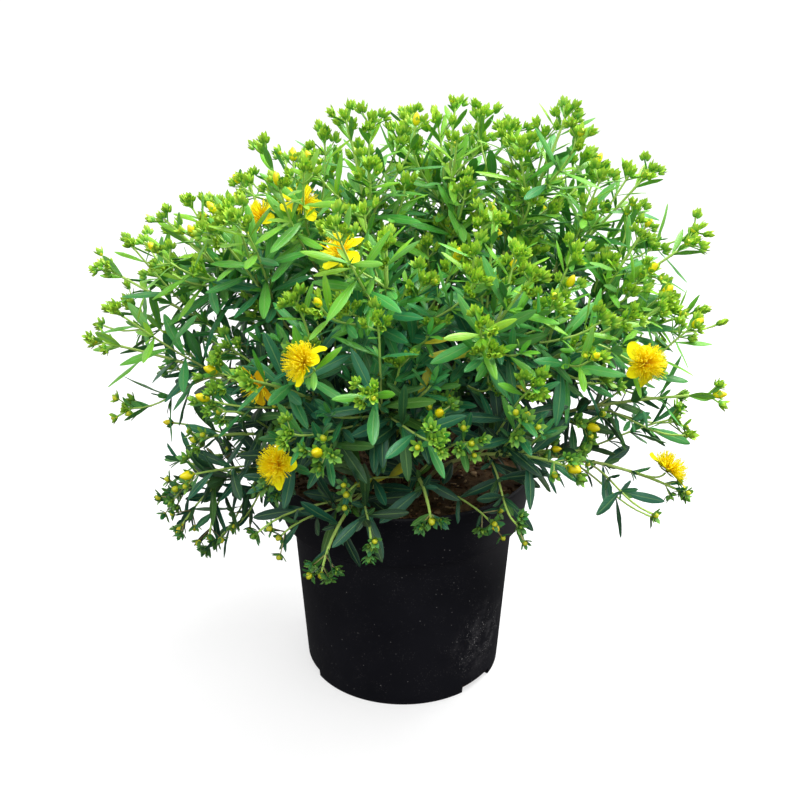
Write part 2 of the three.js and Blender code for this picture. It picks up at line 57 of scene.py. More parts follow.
# The pot: a tapered body, a wider collar round its top and three drain notches in its foot.
POT_HEIGHT = 198
RIM_RADIUS = 115
COLLAR_HEIGHT = 49
COLLAR_FOOT = POT_HEIGHT - COLLAR_HEIGHT
COLLAR_FOOT_RADIUS = 107.6
SHOULDER_RADIUS = 98.4
BASE_RADIUS = 88.5
WALL = 2.2
FLOOR = 3
EDGE = 1.5
POT_SIDES = 160
BODY_ROWS = {"from": 12, "below_collar": 4, "count": 12}
COLLAR_ROWS = {"above_foot": 6, "below_rim": 5, "count": 6}
COLLAR_ROUNDING = 2
SHOULDER_STEP = 0.6
LIP_DEPTH = 3.4
INNER_DEPTHS = (8, 22)
NOTCH = {"width": 38, "height": 7, "depth": 9, "bearings": [-41, 79, 199]}

# Where dust lies thickest on the pot: specks low on its right.
DUST_PATCH = {"at": (70, -56, 50), "radius": 50}
# A painted sheen on the collar's right side: a lighter film that stands in for light reflected there.
PAINTED_COLLAR_SHEEN = {"at": (108, -40, 178), "radius": 85}

# The soil fills the pot to a little below its rim.
SOIL_TOP = 180
SOIL_RELIEF = 3
SOIL_GAP = 0.5
FIT_GAP = 0.35
HOLE_DEPTH = 8
SOIL_SIDES = 120
SOIL_RINGS = [1, 0.97, 0.93, 0.87, 0.8, 0.73, 0.66, 0.59, 0.52, 0.45, 0.38, 0.31, 0.24, 0.17, 0.1, 0.04]
CHIPS = {
    "count": 1100, "size": 2.2, "more": 7, "width": 0.35, "wider": 0.4, "slope": 0.5, "tilt": 0.6,
    "arch": 0.2, "margin": 3, "above": 0.4,
}

# The leafy stems: where each one's tip stands, and its slope there in degrees above the level.
STEMS = {
    "left_trailing": ((-190, -65, 192), -25),
    "left_low": ((-160, -85, 255), 0),
    "left_mid": ((-245, -35, 318), 15),
    "left_high": ((-250, 20, 365), 30),
    "upper_left": ((-190, -10, 412), 45),
    "crown_left": ((-115, 45, 455), 62),
    "top_left": ((-45, 5, 488), 75),
    "top": ((42, 40, 492), 85),
    "top_right": ((128, 5, 492), 72),
    "crown_right": ((200, 20, 445), 50),
    "upper_right": ((228, -20, 396), 38),
    "right_mid": ((236, -20, 338), 20),
    "right_low": ((244, -65, 284), 8),
    "right_trailing": ((218, -95, 215), -18),
    "front_right_low": ((118, -150, 262), 5),
    "front_low": ((20, -152, 222), -20),
    "front_trailing": ((-62, -150, 176), -55),
    "front_left": ((-110, -140, 325), 25),
    "front": ((-25, -178, 330), 28),
    "front_high": ((-15, -120, 415), 58),
    "front_right": ((88, -140, 400), 50),
    "front_far_right": ((165, -112, 362), 35),
    "back_left": ((-150, 135, 395), 45),
    "back": ((5, 160, 430), 52),
    "back_right": ((150, 140, 400), 45),
    "back_low_left": ((-188, 120, 268), 10),
    "back_low": ((15, 220, 300), 15),
    "back_low_right": ((195, 125, 290), 12),
}
STEM_RADIUS = {"root": 2.6, "tip": 1.2}
SLIMNESS = 0.86
STEM_STEPS = {"coarse": 4, "fine": 18}
STEM_BEND = {"lean": 0.1, "lift": 0.42, "least": 0.5, "end": 0.38}
ROOTS = {"ring": 38, "spacing": 12, "rounds": 80}

# The side shoots that fan out round each stem's tip, and the short sprigs between and below them.
SHOOTS = {"first": 0, "count": 3, "spread": (48, 68), "back": (8, 34), "key": 3}
SPRIGS = {"first": 10, "count": 9, "spread": (18, 46), "back": (8, 70), "key": 21}
LOW_SPRIGS = {"first": 20, "count": 8, "spread": (22, 52), "back": (70, 165), "key": 22}
SPRIG_MARGIN = 14

# How many sprigs each fan gives a stem at most, where the foliage is thinner.
FEW_SPRIGS = {
    "left_low": 1, "left_mid": 1, "left_high": 2, "right_mid": 2, "right_low": 0, "right_trailing": 0,
    "upper_right": 6, "crown_right": 7, "front_left": 6, "front_low": 3, "front_right_low": 3,
    "front_far_right": 5, "left_trailing": 4, "front_trailing": 2, "back_left": 4, "back_low_left": 0,
    "back_low_right": 1,
}

# The bush reaches as far each way as its stems do, and its sprigs end a little inside that.
BUSH = {"middle": (0, 0, 230), "sharpness": 14, "inside": 17}

# Side shoots round the open edges of the bush, by their keys, which bear few leaves and one head.
SPARSE = {
    "left_high": [0], "left_trailing": [2], "front_trailing": [1],
    "right_trailing": [0, 1], "right_low": [2], "upper_left": [0], "upper_right": [0],
}

# Sprigs that the photo shows before blooms and trailing shoots, and in what would be gaps of the crown:
# each one's stem, the share of the stem below it, its tip, and the way it points there.
POSED_SPRIGS = [
    ("crown_left", 0.55, (-92, -70, 450), (-0.2, -0.3, 1)),
    ("crown_left", 0.62, (-74, -68, 462), (0.1, -0.3, 1)),
    ("upper_left", 0.6, (-130, -68, 432), (-0.4, -0.4, 1)),
    ("front_high", 0.6, (-46, -158, 440), (-0.3, -0.4, 1)),
    ("upper_left", 0.55, (-121, -82, 428), (-0.5, -0.4, 1)),
    ("upper_left", 0.5, (-142, -62, 414), (-0.7, -0.4, 1)),
    ("front_trailing", 0.5, (-92, -132, 196), (-0.7, -0.7, -0.4)),
    ("top", 0.55, (49, -20, 440), (0.1, -0.3, 1)),
    ("top", 0.45, (62, -42, 418), (0.3, -0.4, 1)),
    ("front_high", 0.5, (38, -84, 396), (0.3, -0.4, 1)),
    ("top_right", 0.62, (93, 0, 466), (-0.1, -0.1, 1)),
    ("left_trailing", 0.72, (-180, -78, 178), (-0.5, -0.4, -0.7)),
    ("left_trailing", 0.66, (-160, -78, 170), (-0.1, -0.5, -0.8)),
    ("top_left", 0.6, (-26, 0, 486), (0.1, -0.1, 1)),
    ("top", 0.6, (28, 15, 484), (-0.2, -0.1, 1)),
    ("top", 0.66, (66, 40, 486), (0.2, 0.1, 1)),
    ("top_right", 0.55, (114, 15, 473), (0.1, 0, 1)),
    ("crown_right", 0.62, (179, 0, 444), (0.5, -0.1, 1)),
    ("right_low", 0.5, (143, -80, 264), (0.5, -0.6, 0.1)),
    ("left_low", 0.6, (-137, -100, 284), (-0.7, -0.6, 0.2)),
    ("left_low", 0.55, (-142, -80, 308), (-0.8, -0.5, 0.5)),
    ("upper_left", 0.7, (-171, 0, 421), (-0.5, -0.1, 1)),
]
POSED_KEY = 60

# The bush's underside rises outwards from the middle. Only the trailing stems' foliage hangs below it.
UNDERSIDE = {"middle": 240, "from": 150, "rise": 0.6, "leaf": 30}
TRAILING = {"left_trailing": 64, "front_trailing": 0}
SHOOT_START = {"share": 1.35, "lowest": 0.3}
SHOOT_END = {"outwards": 0.45, "up": 0.3}
SHOOT_RADIUS = {"root": 1.1, "tip": 1.0}
SHOOT_STEPS = {"coarse": 3, "fine": 10}
SHOOT_BEND = {"towards": 1.4, "start": 0.36, "end": 0.34}
TURNS = {
    "shoot": [0, 25, -25, 50, -50, 75, -75],
    "sprig": [0, 25, -25, 50, -50, 75, -75, 110, -110, 150],
}

# The leaves stand in opposite pairs, each pair crosswise to the next, counted back from the tip.
LEAF_LENGTH = (40, 50)
LEAF_SHARE = 0.22
LEAF_LEAN = (34, 62)
LEAN_SPREAD = 12
LEAF_ARCH = (0.02, 0.2)
LEAF_TURNS = [0, 16, -16, 32, -32, 48, -48, 64]
LEAF_WOBBLE = 16
LEAF_SHRINK = 0.04
LIGHT_PULL = 0.7
LIGHT_SIDE = {"outwards": 0.3, "front": 0.35}
YOUNG = {"reach": 45, "share": 0.5}
PAIR_START = 15
PAIRS = {
    "stem": {"gap": 23, "leafy": 0.7, "kept": [2, 5, 8]},
    "shoot": {"gap": 19, "leafy": 0.85, "kept": [1]},
    "bloom": {"gap": 19, "leafy": 0.85, "kept": []},
    "sprig": {"gap": 17, "leafy": 0.9, "kept": []},
}
PAIRS_AT_MOST = 14
LEAFIER = 0.1
LEAF_NARROWING = {"from": 250, "to": 430, "share": 0.2}
LEAF_SICKLE = 0.12
LEAF_TWIST = 0.5
RIPPLE = {"waves": 11, "skew": 1.5}

# The small leaves: in tufts where pairs leave a shoot, at the ends of shoots, and under side stalks.
# Each rule tells how much they face along the shoot and against their own way, and the keys of draws.
SMALL_ARCH = 0.1
TUFT = {"length": (9, 19), "share": 0.3, "lean": (28, 58), "facing": (0.6, 1), "keys": (42, 43, 44)}
TUFTS = {"leaves": 4, "from_tip": 24, "chance": 0.85, "apart": 0.5, "youth": 0.4}
ROSETTE = {"length": (11, 20), "share": 0.3, "lean": (18, 44), "facing": (1, 0.3), "keys": (39, 40, 59)}
ROSETTES = {"leaves": 5, "spin": 0.4, "from_tip": 10}
BRACT = {"length": (12, 20), "share": 0.28, "lean": (26, 54), "facing": (1, 0.3), "keys": (70, 71, 72)}
BRACT_AGE = 0.12

# How old and how shaded the foliage looks, from 0 for lime to 1 for dark: older down the shoot, and darker
# low in the bush as painted shade, which eases for leaves far out from the middle as painted light.
AGE_AND_SHADE = {
    "least": 0.04, "along": 0.26, "reach": 50, "low": 0.8, "dark_at": 240, "light_at": 398, "spread": 0.18,
    "outer_from": 130,
}

# Places deep in the bush where leaves have turned yellow.
YELLOWED = {
    "places": [
        (-42, -70, 262), (-17, -95, 240), (2, -60, 262), (-25, -95, 221),
        (12, -100, 305), (75, -90, 312), (35, -120, 345), (-100, -95, 300),
    ],
    "within": 14, "chance": 0.75, "least": 0.6, "more": 0.4,
}

# Shoots low in the bush seldom bear flower heads, and end in small leaves instead.
HEADS = {"seldom_at": 230, "often_at": 400, "least": 0.25, "inner": 0.75}

# Where the foliage in front parts and shows the soil, and the dark place round it without sprigs.
SOIL_VIEW = {"low": (8, -190, 182), "high": (92, -15, 262)}
DARK_VIEW = {"low": (-62, -190, 182), "high": (104, -15, 292)}

# The room that pieces keep clear of each other is measured with balls.
CLEAR_GAP = 0.8
CELL = 18
TUBE_BALLS = {"step": 4, "margin": 1.5, "after": 6}
LEAF_BALLS = {"shares": [0.2, 0.32, 0.44, 0.56, 0.68, 0.8, 0.92], "margin": 0.6}
LOOSE_LEAF_BALLS = {"shares": [0.35, 0.6, 0.85], "radius": 0.22}
CLUSTER_BALL = {"ahead": 5, "radius": 9}
BLOOM_BALL = {"ahead": 6, "radius": 15}
STEM_KEY = 99
BLOOM_KEY = 90

# The flower buds stand in heads, each bud held by leafy sepals. A shoot ends in one head, with others
# on side stalks below it. High heads are tight, and low ones open like stars.
BUDS = {
    "green": {"length": (4.6, 5.8), "share": 0.56},
    "round": {"length": (4.8, 6.2), "share": 0.88},
    "ripe": {"length": (9, 11.5), "share": 0.56},
}
RIPE_CHANCE = 0.2
HEAD = {"side_buds": 2, "lean": (14, 28), "foot": 1.7, "main": 1.1, "side": 0.88, "closing": 0.7}
SEPALS = 5
SEPAL = {
    "tight": {"length": (6.4, 8.4), "lean": (26, 44), "arch": -0.45},
    "open": {"length": (7, 9), "lean": (56, 76), "arch": -0.04},
    "share": 0.46, "spin": 0.3, "foot": 0.5,
}
NECK = 4
SIDE_STALK = {
    "length": (10, 17), "tight": 0.78, "lean": (34, 56), "gap": 9, "radius": 0.55, "second": 0.55,
    "upright": 0.6, "overlap": 0.5, "head": 0.9,
}

# How heads change from high in the bush to low: they open wider, are more often round, and are drawn darker,
# partly as older heads and partly as painted shade.
CLUSTER = {
    "low": 200, "rise": 170, "young": 0.7, "ageing_and_shade": 0.3, "open": 0.1, "opening": 0.8, "spread": 0.5,
    "round": 0.15, "size": 0.9, "more": 0.28,
}

# The stems' and shoots' tubes: how they swell where leaves stand, and how far from the tip bark is old.
TUBE = {"margin": 6, "swell": 0.22, "half": 1.6, "clear": 2.2, "end": 0.2, "old": 220}
TUBE_SIDES = {"stem": 8, "shoot": 5, "sprig": 5, "bloom": 5}

# The open blooms: which stem bears each, where its centre is, and which way it faces.
BLOOMS = {
    "upper_left": {"on": "upper_left", "at": (-112, -25, 418), "facing": (-0.5, -0.5, 0.7), "brush": 0.3},
    "crown_left": {"on": "crown_left", "at": (-80, -30, 430), "facing": (0.3, -0.6, 0.75), "brush": 0.3},
    "front_high": {"on": "front_high", "at": (-44, -125, 415), "facing": (-0.35, -0.35, 0.85), "brush": 0.35},
    "front_left": {
        "on": "front_left", "at": (-68, -172, 350), "facing": (-0.75, -0.45, 0.5), "curled": [0, 1, 4]},
    "left_low": {
        "on": "left_low", "at": (-92, -150, 262), "facing": (-0.55, -0.75, 0.4), "curled": [0, 1]},
    "front_right": {
        "on": "front_far_right", "at": (176, -132, 335), "facing": (0.25, -0.85, 0.45), "curled": [0, 3, 4]},
    "right_low": {"on": "right_trailing", "at": (208, -100, 232), "facing": (0.45, 0.1, 0.55)},
    "inner_left": {
        "on": "left_mid", "at": (-110, -95, 305), "facing": (-0.6, -0.6, -0.25),
        "withered": 0.6, "brush": 0.2},
    "back_left": {"on": "back_left", "at": (-120, 165, 375), "facing": (-0.35, 0.75, 0.6)},
    "back_right": {"on": "back_right", "at": (120, 175, 370), "facing": (0.3, 0.8, 0.5)},
}
PETALS = 5
PETAL = {
    "reach": 19, "width": 11, "least": 0.9, "more": 0.2, "cup": 0.14, "spin": 0.3, "droop": 0.26,
    "lift": 0.1, "curl": 0.9, "curled_size": 0.74, "sickle": 0.16, "twist": 0.6, "untwist": 0.3,
}
BLOOM_SEPAL = {"length": 9, "width": 4, "arch": 0.1, "age": 0.3}
BLOOM_SEPAL_CUP = 0.1
STAMENS = 320
STAMEN = {
    "length": (10.5, 15), "width": 0.75, "rise": (4, 74), "arch": 0.25, "unbent": 0.6,
    "above": 2.5, "outside": 1.6,
}
ANTHER = {"length": 1.1, "width": 0.9, "below": 0.3}
HEART = {"height": 6, "width": 3.4, "middle": 1.5}
BLOOM_SHOOT = {"below": 40, "lowest": 0.2}

# The light, in metres and watts, and how much the floor shines of itself, which makes shadows faint.
SKY_LIGHT = 1.12
GROUND_LIGHT = 0.07
FLOOR_GLOW = 0.6
FLOOR_WHITE = 0.4
FLOOR_SIZE = 60
HORIZON = (-0.2, -0.02)
LIGHT_TARGET = (0, 0, 0.3)
LAMPS = {
    "key": {"at": (1.0, 0.4, 1.9), "size": 0.9, "power": 49},
    "front": {"at": (0.25, -1.2, 2.2), "size": 1.2, "power": 14},
}

# The camera, in metres and degrees, at the photo's angle.
CAMERA = {"lens": 50.625, "sensor": 36, "at": (-0.0027, -0.9047, 0.618), "down": 21.95}

# The angles in degrees from which an edge between faces is drawn sharp.
SHARP = {"plant": 75, "pot": 38}

UP = np.array([0.0, 0.0, 1.0])

# What the draws stir their numbers with: a word of 32 bits, a start, and factors with shifts.
WORD = 0xFFFFFFFF
SEED = 0x9E3779B9
STIRS = ((0x85EBCA6B, 13), (0xC2B2AE35, 16))


# The same whole numbers always give the same draw from 0 to 1.
def draw(*key):
    value = SEED
    for number in key:
        value ^= number & WORD
        for factor, shift in STIRS:
            value = value * factor & WORD
            value ^= value >> shift
    return value / (WORD + 1)


def clamped(value):
    return min(1, max(0, value))


# The value a share of the way from the first of two values to the second.
def at_share(limits, share):
    return limits[0] + (limits[1] - limits[0]) * share


def between(limits, *key):
    return at_share(limits, draw(*key))


# A change either way, by half of a span at most.
def swing(span, *key):
    return span * (draw(*key) - 0.5)


def vector(triple):
    return np.array(triple, float)


def length_of(arrow):
    return math.sqrt(arrow @ arrow)


def unit(arrow):
    return arrow / length_of(arrow)


def crossed(a, b):
    return np.array([a[1] * b[2] - a[2] * b[1], a[2] * b[0] - a[0] * b[2], a[0] * b[1] - a[1] * b[0]])


# How far a place is from the upright axis.
def span_of(point):
    return math.hypot(point[0], point[1])


# The direction of a sum of two vectors.
def mixed(one, share, other, other_share):
    return unit(one * share + other * other_share)


# The part of a vector that is square to a direction.
def squared(other, direction):
    return unit(other - direction * (other @ direction))


def square_to(direction):
    return squared(vector((1, 0, 0) if abs(direction[1]) > 0.9 else (0, 1, 0)), direction)


# A vector that is square to the axis, turned about it.
def turned(arrow, axis, angle):
    return arrow * math.cos(angle) + crossed(axis, arrow) * math.sin(angle)


def tilted(direction, aside, degrees):
    angle = math.radians(degrees)
    return mixed(direction, math.cos(angle), aside, math.sin(angle))


def round_angles(sides):
    return 2 * np.pi * np.arange(sides) / sides


def bezier(points, steps):
    t = np.linspace(0, 1, steps + 1)[:, None]
    a, b, c, d = points
    return a * (1 - t) ** 3 + 3 * b * t * (1 - t) ** 2 + 3 * c * t * t * (1 - t) + d * t**3


# A bent line, which tells its place, its direction and a vector across it at a distance.
class Path:
    def __init__(self, points, end):
        self.points = np.array(points)
        self.end = end
        steps = np.diff(self.points, axis=0)
        sizes = np.linalg.norm(steps, axis=1)
        self.reached = np.concatenate([[0], np.cumsum(sizes)])
        self.directions = steps / sizes[:, None]
        self.length = self.reached[-1]
        self.across = [square_to(self.directions[0])]
        for direction in self.directions[1:]:
            self.across.append(squared(self.across[-1], direction))

    def at(self, distance):
        i = min(int(np.searchsorted(self.reached[1:], distance)), len(self.directions) - 1)
        point = self.points[i] + self.directions[i] * (distance - self.reached[i])
        return point, self.directions[i], self.across[i]

    # Balls that hold a tube round the path from one distance to its end.
    def balls(self, radius, start):
        count = math.ceil((self.length - start) / TUBE_BALLS["step"])
        distances = [start + (self.length - start) * k / count for k in range(count + 1)]
        return [(*self.at(distance)[0], radius + TUBE_BALLS["margin"]) for distance in distances]


def pot_radius_at(height):
    if height < COLLAR_FOOT:
        return BASE_RADIUS + (SHOULDER_RADIUS - BASE_RADIUS) * height / COLLAR_FOOT
    return COLLAR_FOOT_RADIUS + (RIM_RADIUS - COLLAR_FOOT_RADIUS) * (height - COLLAR_FOOT) / COLLAR_HEIGHT


# True if a ball is over the rim, outside the pot, or above the soil inside it.
def clear_of_pot(ball):
    x, y, z, radius = ball
    room = radius + CLEAR_GAP
    spread = math.hypot(x, y)
    if z - room > POT_HEIGHT:
        return True
    if spread - room > pot_radius_at(min(z + room, POT_HEIGHT)):
        return True
    return z - room > SOIL_TOP + SOIL_RELIEF and spread + room < COLLAR_FOOT_RADIUS - WALL


# Keeps the room that each plant piece takes, as balls in a grid of cells, with the piece's owner.
class Room:
    def __init__(self):
        self.cells = defaultdict(list)

    def take(self, balls, owner):
        for ball in balls:
            cell = tuple(int(value // CELL) for value in ball[:3])
            self.cells[cell].append((ball, owner))

    def meets(self, ball, owner, gap):
        x, y, z, radius = ball
        i, j, k = (int(value // CELL) for value in ball[:3])
        for a in (i - 1, i, i + 1):
            for b in (j - 1, j, j + 1):
                for c in (k - 1, k, k + 1):
                    for other, held in self.cells.get((a, b, c), ()):
                        least = radius + other[3] + gap
                        apart = (x - other[0]) ** 2 + (y - other[1]) ** 2 + (z - other[2]) ** 2
                        if held != owner and apart < least * least:
                            return True
        return False

    def is_free(self, balls, owner, gap=CLEAR_GAP):
        return all(clear_of_pot(ball) and not self.meets(ball, owner, gap) for ball in balls)


# A shoot: the coarse line that the solids follow, the fine line that is drawn, its kind and its key.
class Shoot(NamedTuple):
    coarse: Path
    fine: Path
    kind: str
    key: int


# The stems' places in the soil: low stems stand outermost, and none stands in another.
def stem_roots():
    roots = []
    for (x, y, z), _ in STEMS.values():
        reach = math.hypot(x, y)
        steep = math.atan2(z - SOIL_TOP, reach) / (math.pi / 2)
        spread = ROOTS["ring"] * (1 - steep)
        roots.append([x / reach * spread, y / reach * spread])
    for _ in range(ROOTS["rounds"]):
        for a in range(len(roots)):
            for b in range(a + 1, len(roots)):
                dx, dy = roots[b][0] - roots[a][0], roots[b][1] - roots[a][1]
                apart = math.hypot(dx, dy)
                push = max(0, ROOTS["spacing"] - apart) / 2 / apart
                roots[a] = [roots[a][0] - dx * push, roots[a][1] - dy * push]
                roots[b] = [roots[b][0] + dx * push, roots[b][1] + dy * push]
    return [vector((x, y, SOIL_TOP - HOLE_DEPTH + FIT_GAP)) for x, y in roots]


# A stem stands upright in its hole, then leans outwards and ends at its tip with its own slope.
def stem_shoot(root, tip, slope):
    tip = vector(tip)
    outwards = unit(vector((tip[0], tip[1], 0)))
    end = tilted(outwards, UP, slope)
    knee = vector((root[0], root[1], SOIL_TOP + SOIL_RELIEF))
    span = length_of(tip - knee)
    rise = max(STEM_BEND["least"], (tip[2] - SOIL_TOP) / span)
    lifted = knee + outwards * span * STEM_BEND["lean"] + UP * span * STEM_BEND["lift"] * rise
    controls = [knee, lifted, tip - end * span * STEM_BEND["end"], tip]
    paths = [Path([root, *bezier(controls, STEM_STEPS[kind])], end) for kind in ("coarse", "fine")]
    return Shoot(*paths, "stem", STEM_KEY)


# A curve that leaves another at a distance along it and reaches a tip.
def branch_path(parent, distance, tip, end, steps):
    point, direction, _ = parent.at(distance)
    reach = length_of(tip - point)
    start = mixed(direction, 1, unit(tip - point), SHOOT_BEND["towards"])
    near_point = point + start * reach * SHOOT_BEND["start"]
    near_tip = tip - end * reach * SHOOT_BEND["end"]
    return Path(bezier([point, near_point, near_tip, tip], steps), end)


def branch(parent, distance, tip, end, kind, key):
    coarse = branch_path(parent.coarse, distance, tip, end, SHOOT_STEPS["coarse"])
    same = distance * parent.fine.length / parent.coarse.length
    fine = branch_path(parent.fine, same, tip, end, SHOOT_STEPS["fine"])
    return Shoot(coarse, fine, kind, key)


# The balls that hold a shoot and the head at its tip.
def shoot_balls(path, radius=SHOOT_RADIUS["root"], start=TUBE_BALLS["after"]):
    return [*path.balls(radius, start), cluster_ball(path)]


# The shoots of one fan that have room round a stem's tip.
def fan_of_shoots(room, stem, number, fan, count, kind, inside):
    path = stem.coarse
    level = unit(crossed(path.end, UP))
    upright = crossed(level, path.end)
    shoots = []
    for k in range(count):
        key = fan["first"] + k
        spread = between(fan["spread"], number, key, 1)
        back = between(fan["back"], number, key, 2)
        bearing = 360 * (k / count + draw(number, fan["key"]))
        start = max(path.length * SHOOT_START["lowest"], path.length - SHOOT_START["share"] * spread - back)
        for turn in TURNS[kind]:
            aside = tilted(level, upright, bearing + turn)
            if kind == "sprig":
                tip = path.at(path.length - back)[0] + aside * spread
            else:
                tip = path.points[-1] + aside * spread - path.end * back
            end = mixed(mixed(path.end, 1, aside, SHOOT_END["outwards"]), 1, UP, SHOOT_END["up"])
            shoot = branch(stem, start, tip, end, kind, key)
            balls = shoot_balls(shoot.coarse)
            if inside(tip) and room.is_free(balls, number):
                room.take(balls, number)
                shoots.append(shoot)
                break
    return shoots


def cluster_ball(path):
    return (*(path.points[-1] + path.end * CLUSTER_BALL["ahead"]), CLUSTER_BALL["radius"])


# The shoot that carries a bloom, from its stem to just behind the bloom.
def bloom_shoot(stem, bloom):
    end = unit(vector(bloom["facing"]))
    tip = vector(bloom["at"]) - end * FIT_GAP
    apart = np.linalg.norm(stem.coarse.points - tip, axis=1)
    nearest = stem.coarse.reached[int(np.argmin(apart))]
    start = max(stem.coarse.length * BLOOM_SHOOT["lowest"], nearest - BLOOM_SHOOT["below"])
    return branch(stem, start, tip, end, "bloom", BLOOM_KEY)


def posed_sprig(stem, share, tip, end, key):
    return branch(stem, stem.coarse.length * share, vector(tip), unit(vector(end)), "sprig", key)


def bloom_ball(bloom):
    centre = vector(bloom["at"]) + unit(vector(bloom["facing"])) * BLOOM_BALL["ahead"]
    return (*centre, BLOOM_BALL["radius"])


# Anything that reaches from a root to a tip: a leaf, petal, sepal, bud, stalk or stamen.
class Blade(NamedTuple):
    root: np.ndarray
    ahead: np.ndarray
    face: np.ndarray
    length: float
    width: float
    arch: float = 0
    sickle: float = 0
    twist: float = 0
    # How dark it is drawn, as its age: for leaves and heads this also holds painted shade low in the bush.
    age: float = 0
    tint: float = 0.5
    wilt: float = 0


# How such a thing is shaped: its sections along it, the points round a section, and its outline.
class Form(NamedTuple):
    stations: np.ndarray
    across: np.ndarray
    layers: np.ndarray
    outline: np.ndarray
    thickness: float = 0
    fold: float = 0
    rim: float = 0
    ripple: float = 0


# The sections of flat blades: how far each point is to the side, and whether it is on top or below.
FLAT_SECTION = [-1, -0.5, 0, 0.5, 1, 0], [0, 1, 1, 1, 0, -1]
KEEL_SECTION = [-1, 1, 0], [0, 0, -1]
THIN_SECTION = [-1, 0, 1, 0], [0, 1, 0, -1]
WIDE_SECTION = [-1, -0.6, -0.2, 0.2, 0.6, 1, 0.6, 0.2, -0.2, -0.6], [0, 1, 1, 1, 1, 0, -1, -1, -1, -1]


def round_section(sides):
    angles = np.pi - 2 * np.pi * np.arange(sides) / sides
    return np.cos(angles), np.sin(angles)


def form_of(stations, outline, section, **settings):
    across, layers = section
    return Form(np.array(stations), np.array(across), np.array(layers), np.array(outline), **settings)


def leaf_form(stations, section, **settings):
    outline = np.maximum(np.sin(np.pi * np.array(stations) ** 1.32) ** 0.66, 0.12)
    return form_of(stations, outline, section, **settings)


def profile_form(profile, section, **settings):
    return form_of(*zip(*profile), section, **settings)


LEAF_FORM = leaf_form(
    [0.04, 0.16, 0.34, 0.54, 0.73, 0.88, 0.965], FLAT_SECTION,
    thickness=0.45, fold=0.26, rim=0.36, ripple=0.1)
SMALL_LEAF_FORM = leaf_form([0.1, 0.48, 0.84], THIN_SECTION, thickness=0.4, fold=0.3)
SEPAL_FORM = profile_form([(0.28, 0.88), (0.74, 0.9)], KEEL_SECTION, thickness=0.5, fold=0.34)
BUD_FORMS = {
    "green": profile_form([(0.18, 0.85), (0.62, 0.85)], round_section(5)),
    "round": profile_form([(0.1, 0.62), (0.42, 1), (0.82, 0.7)], round_section(7)),
    "ripe": profile_form([(0.03, 0.5), (0.2, 0.9), (0.42, 1), (0.68, 0.84), (0.9, 0.4)], round_section(8)),
}
STALK_FORM = profile_form([(0.01, 1), (0.5, 1), (0.99, 1)], round_section(4))
PETAL_FORM = profile_form(
    [(0.03, 0.16), (0.16, 0.4), (0.34, 0.72), (0.54, 0.96), (0.73, 1), (0.88, 0.8), (0.97, 0.42)],
    WIDE_SECTION, thickness=0.5, fold=-0.12, rim=-0.3, ripple=0.16)
FILAMENT_FORM = profile_form([(0.03, 1), (0.5, 0.8), (0.96, 0.6)], round_section(3))
ANTHER_FORM = profile_form([(0.5, 1)], round_section(4))
HEART_FORM = profile_form([(0.02, 0.6), (0.25, 1), (0.6, 0.8), (0.85, 0.35)], round_section(8))
CHIP_FORM = profile_form([(0.03, 0.75), (0.45, 1), (0.96, 0.65)], THIN_SECTION, thickness=1.4, fold=0.1)


# The faces round a point, some rings and a point, as corners, with -1 where a face has only three.
def spindle_faces(rings, sides):
    k = np.arange(sides)
    after = (k + 1) % sides
    none = np.full(sides, -1)
    last = rings * sides + 1
    faces = [np.stack([np.zeros(sides, int), 1 + after, 1 + k, none], 1)]
    for ring in range(rings - 1):
        near, far = 1 + ring * sides, 1 + (ring + 1) * sides
        faces.append(np.stack([near + k, near + after, far + after, far + k], 1))
    top = 1 + (rings - 1) * sides
    faces.append(np.stack([np.full(sides, last), top + k, top + after, none], 1))
    return np.concatenate(faces)


# The points of many blades of one form, and how far along, across and under each point is.
def blade_points(blades, form):
    def column(name):
        return np.array([getattr(blade, name) for blade in blades])

    root, ahead, face = (column(name)[:, None] for name in ("root", "ahead", "face"))
    length, width, arch, sickle, twist = (
        column(name)[:, None, None] for name in ("length", "width", "arch", "sickle", "twist"))
    side = np.cross(ahead, face)
    t = np.concatenate([[0], form.stations, [1]])[None, :, None]
    middle = root + length * (ahead * t - face * arch * t * t + side * sickle * t * t)
    over = face + 2 * arch * t * ahead
    over /= np.linalg.norm(over, axis=2, keepdims=True)
    aside = side * np.cos(twist * t) + over * np.sin(twist * t)
    above = over * np.cos(twist * t) - side * np.sin(twist * t)
    half = (width / 2 * form.outline[None, :, None])[..., None]
    u, layer = form.across[None, None, :, None], form.layers[None, None, :, None]
    if form.thickness:
        phase = (column("tint") * 2 * np.pi)[:, None, None, None]
        place = form.stations[None, :, None, None] * RIPPLE["waves"] + phase + u * RIPPLE["skew"]
        wave = form.ripple * np.sin(place) * u * u
        rise = half * (form.fold * abs(u) - form.rim * abs(u) ** 3 + wave) + layer * form.thickness / 2
    else:
        rise = half * layer
    inner = slice(1, -1)
    rings = middle[:, inner, None] + aside[:, inner, None] * half * u + above[:, inner, None] * rise
    points = np.concatenate([middle[:, :1], rings.reshape(len(blades), -1, 3), middle[:, -1:]], 1)
    along = np.repeat(form.stations, len(form.across))
    marks = np.stack([along, np.tile(form.across, len(form.stations)),
                      np.tile(form.layers < 0, len(form.stations))], 1)
    return points, np.concatenate([[[0, 0, 0]], marks, [[1, 0, 0]]])


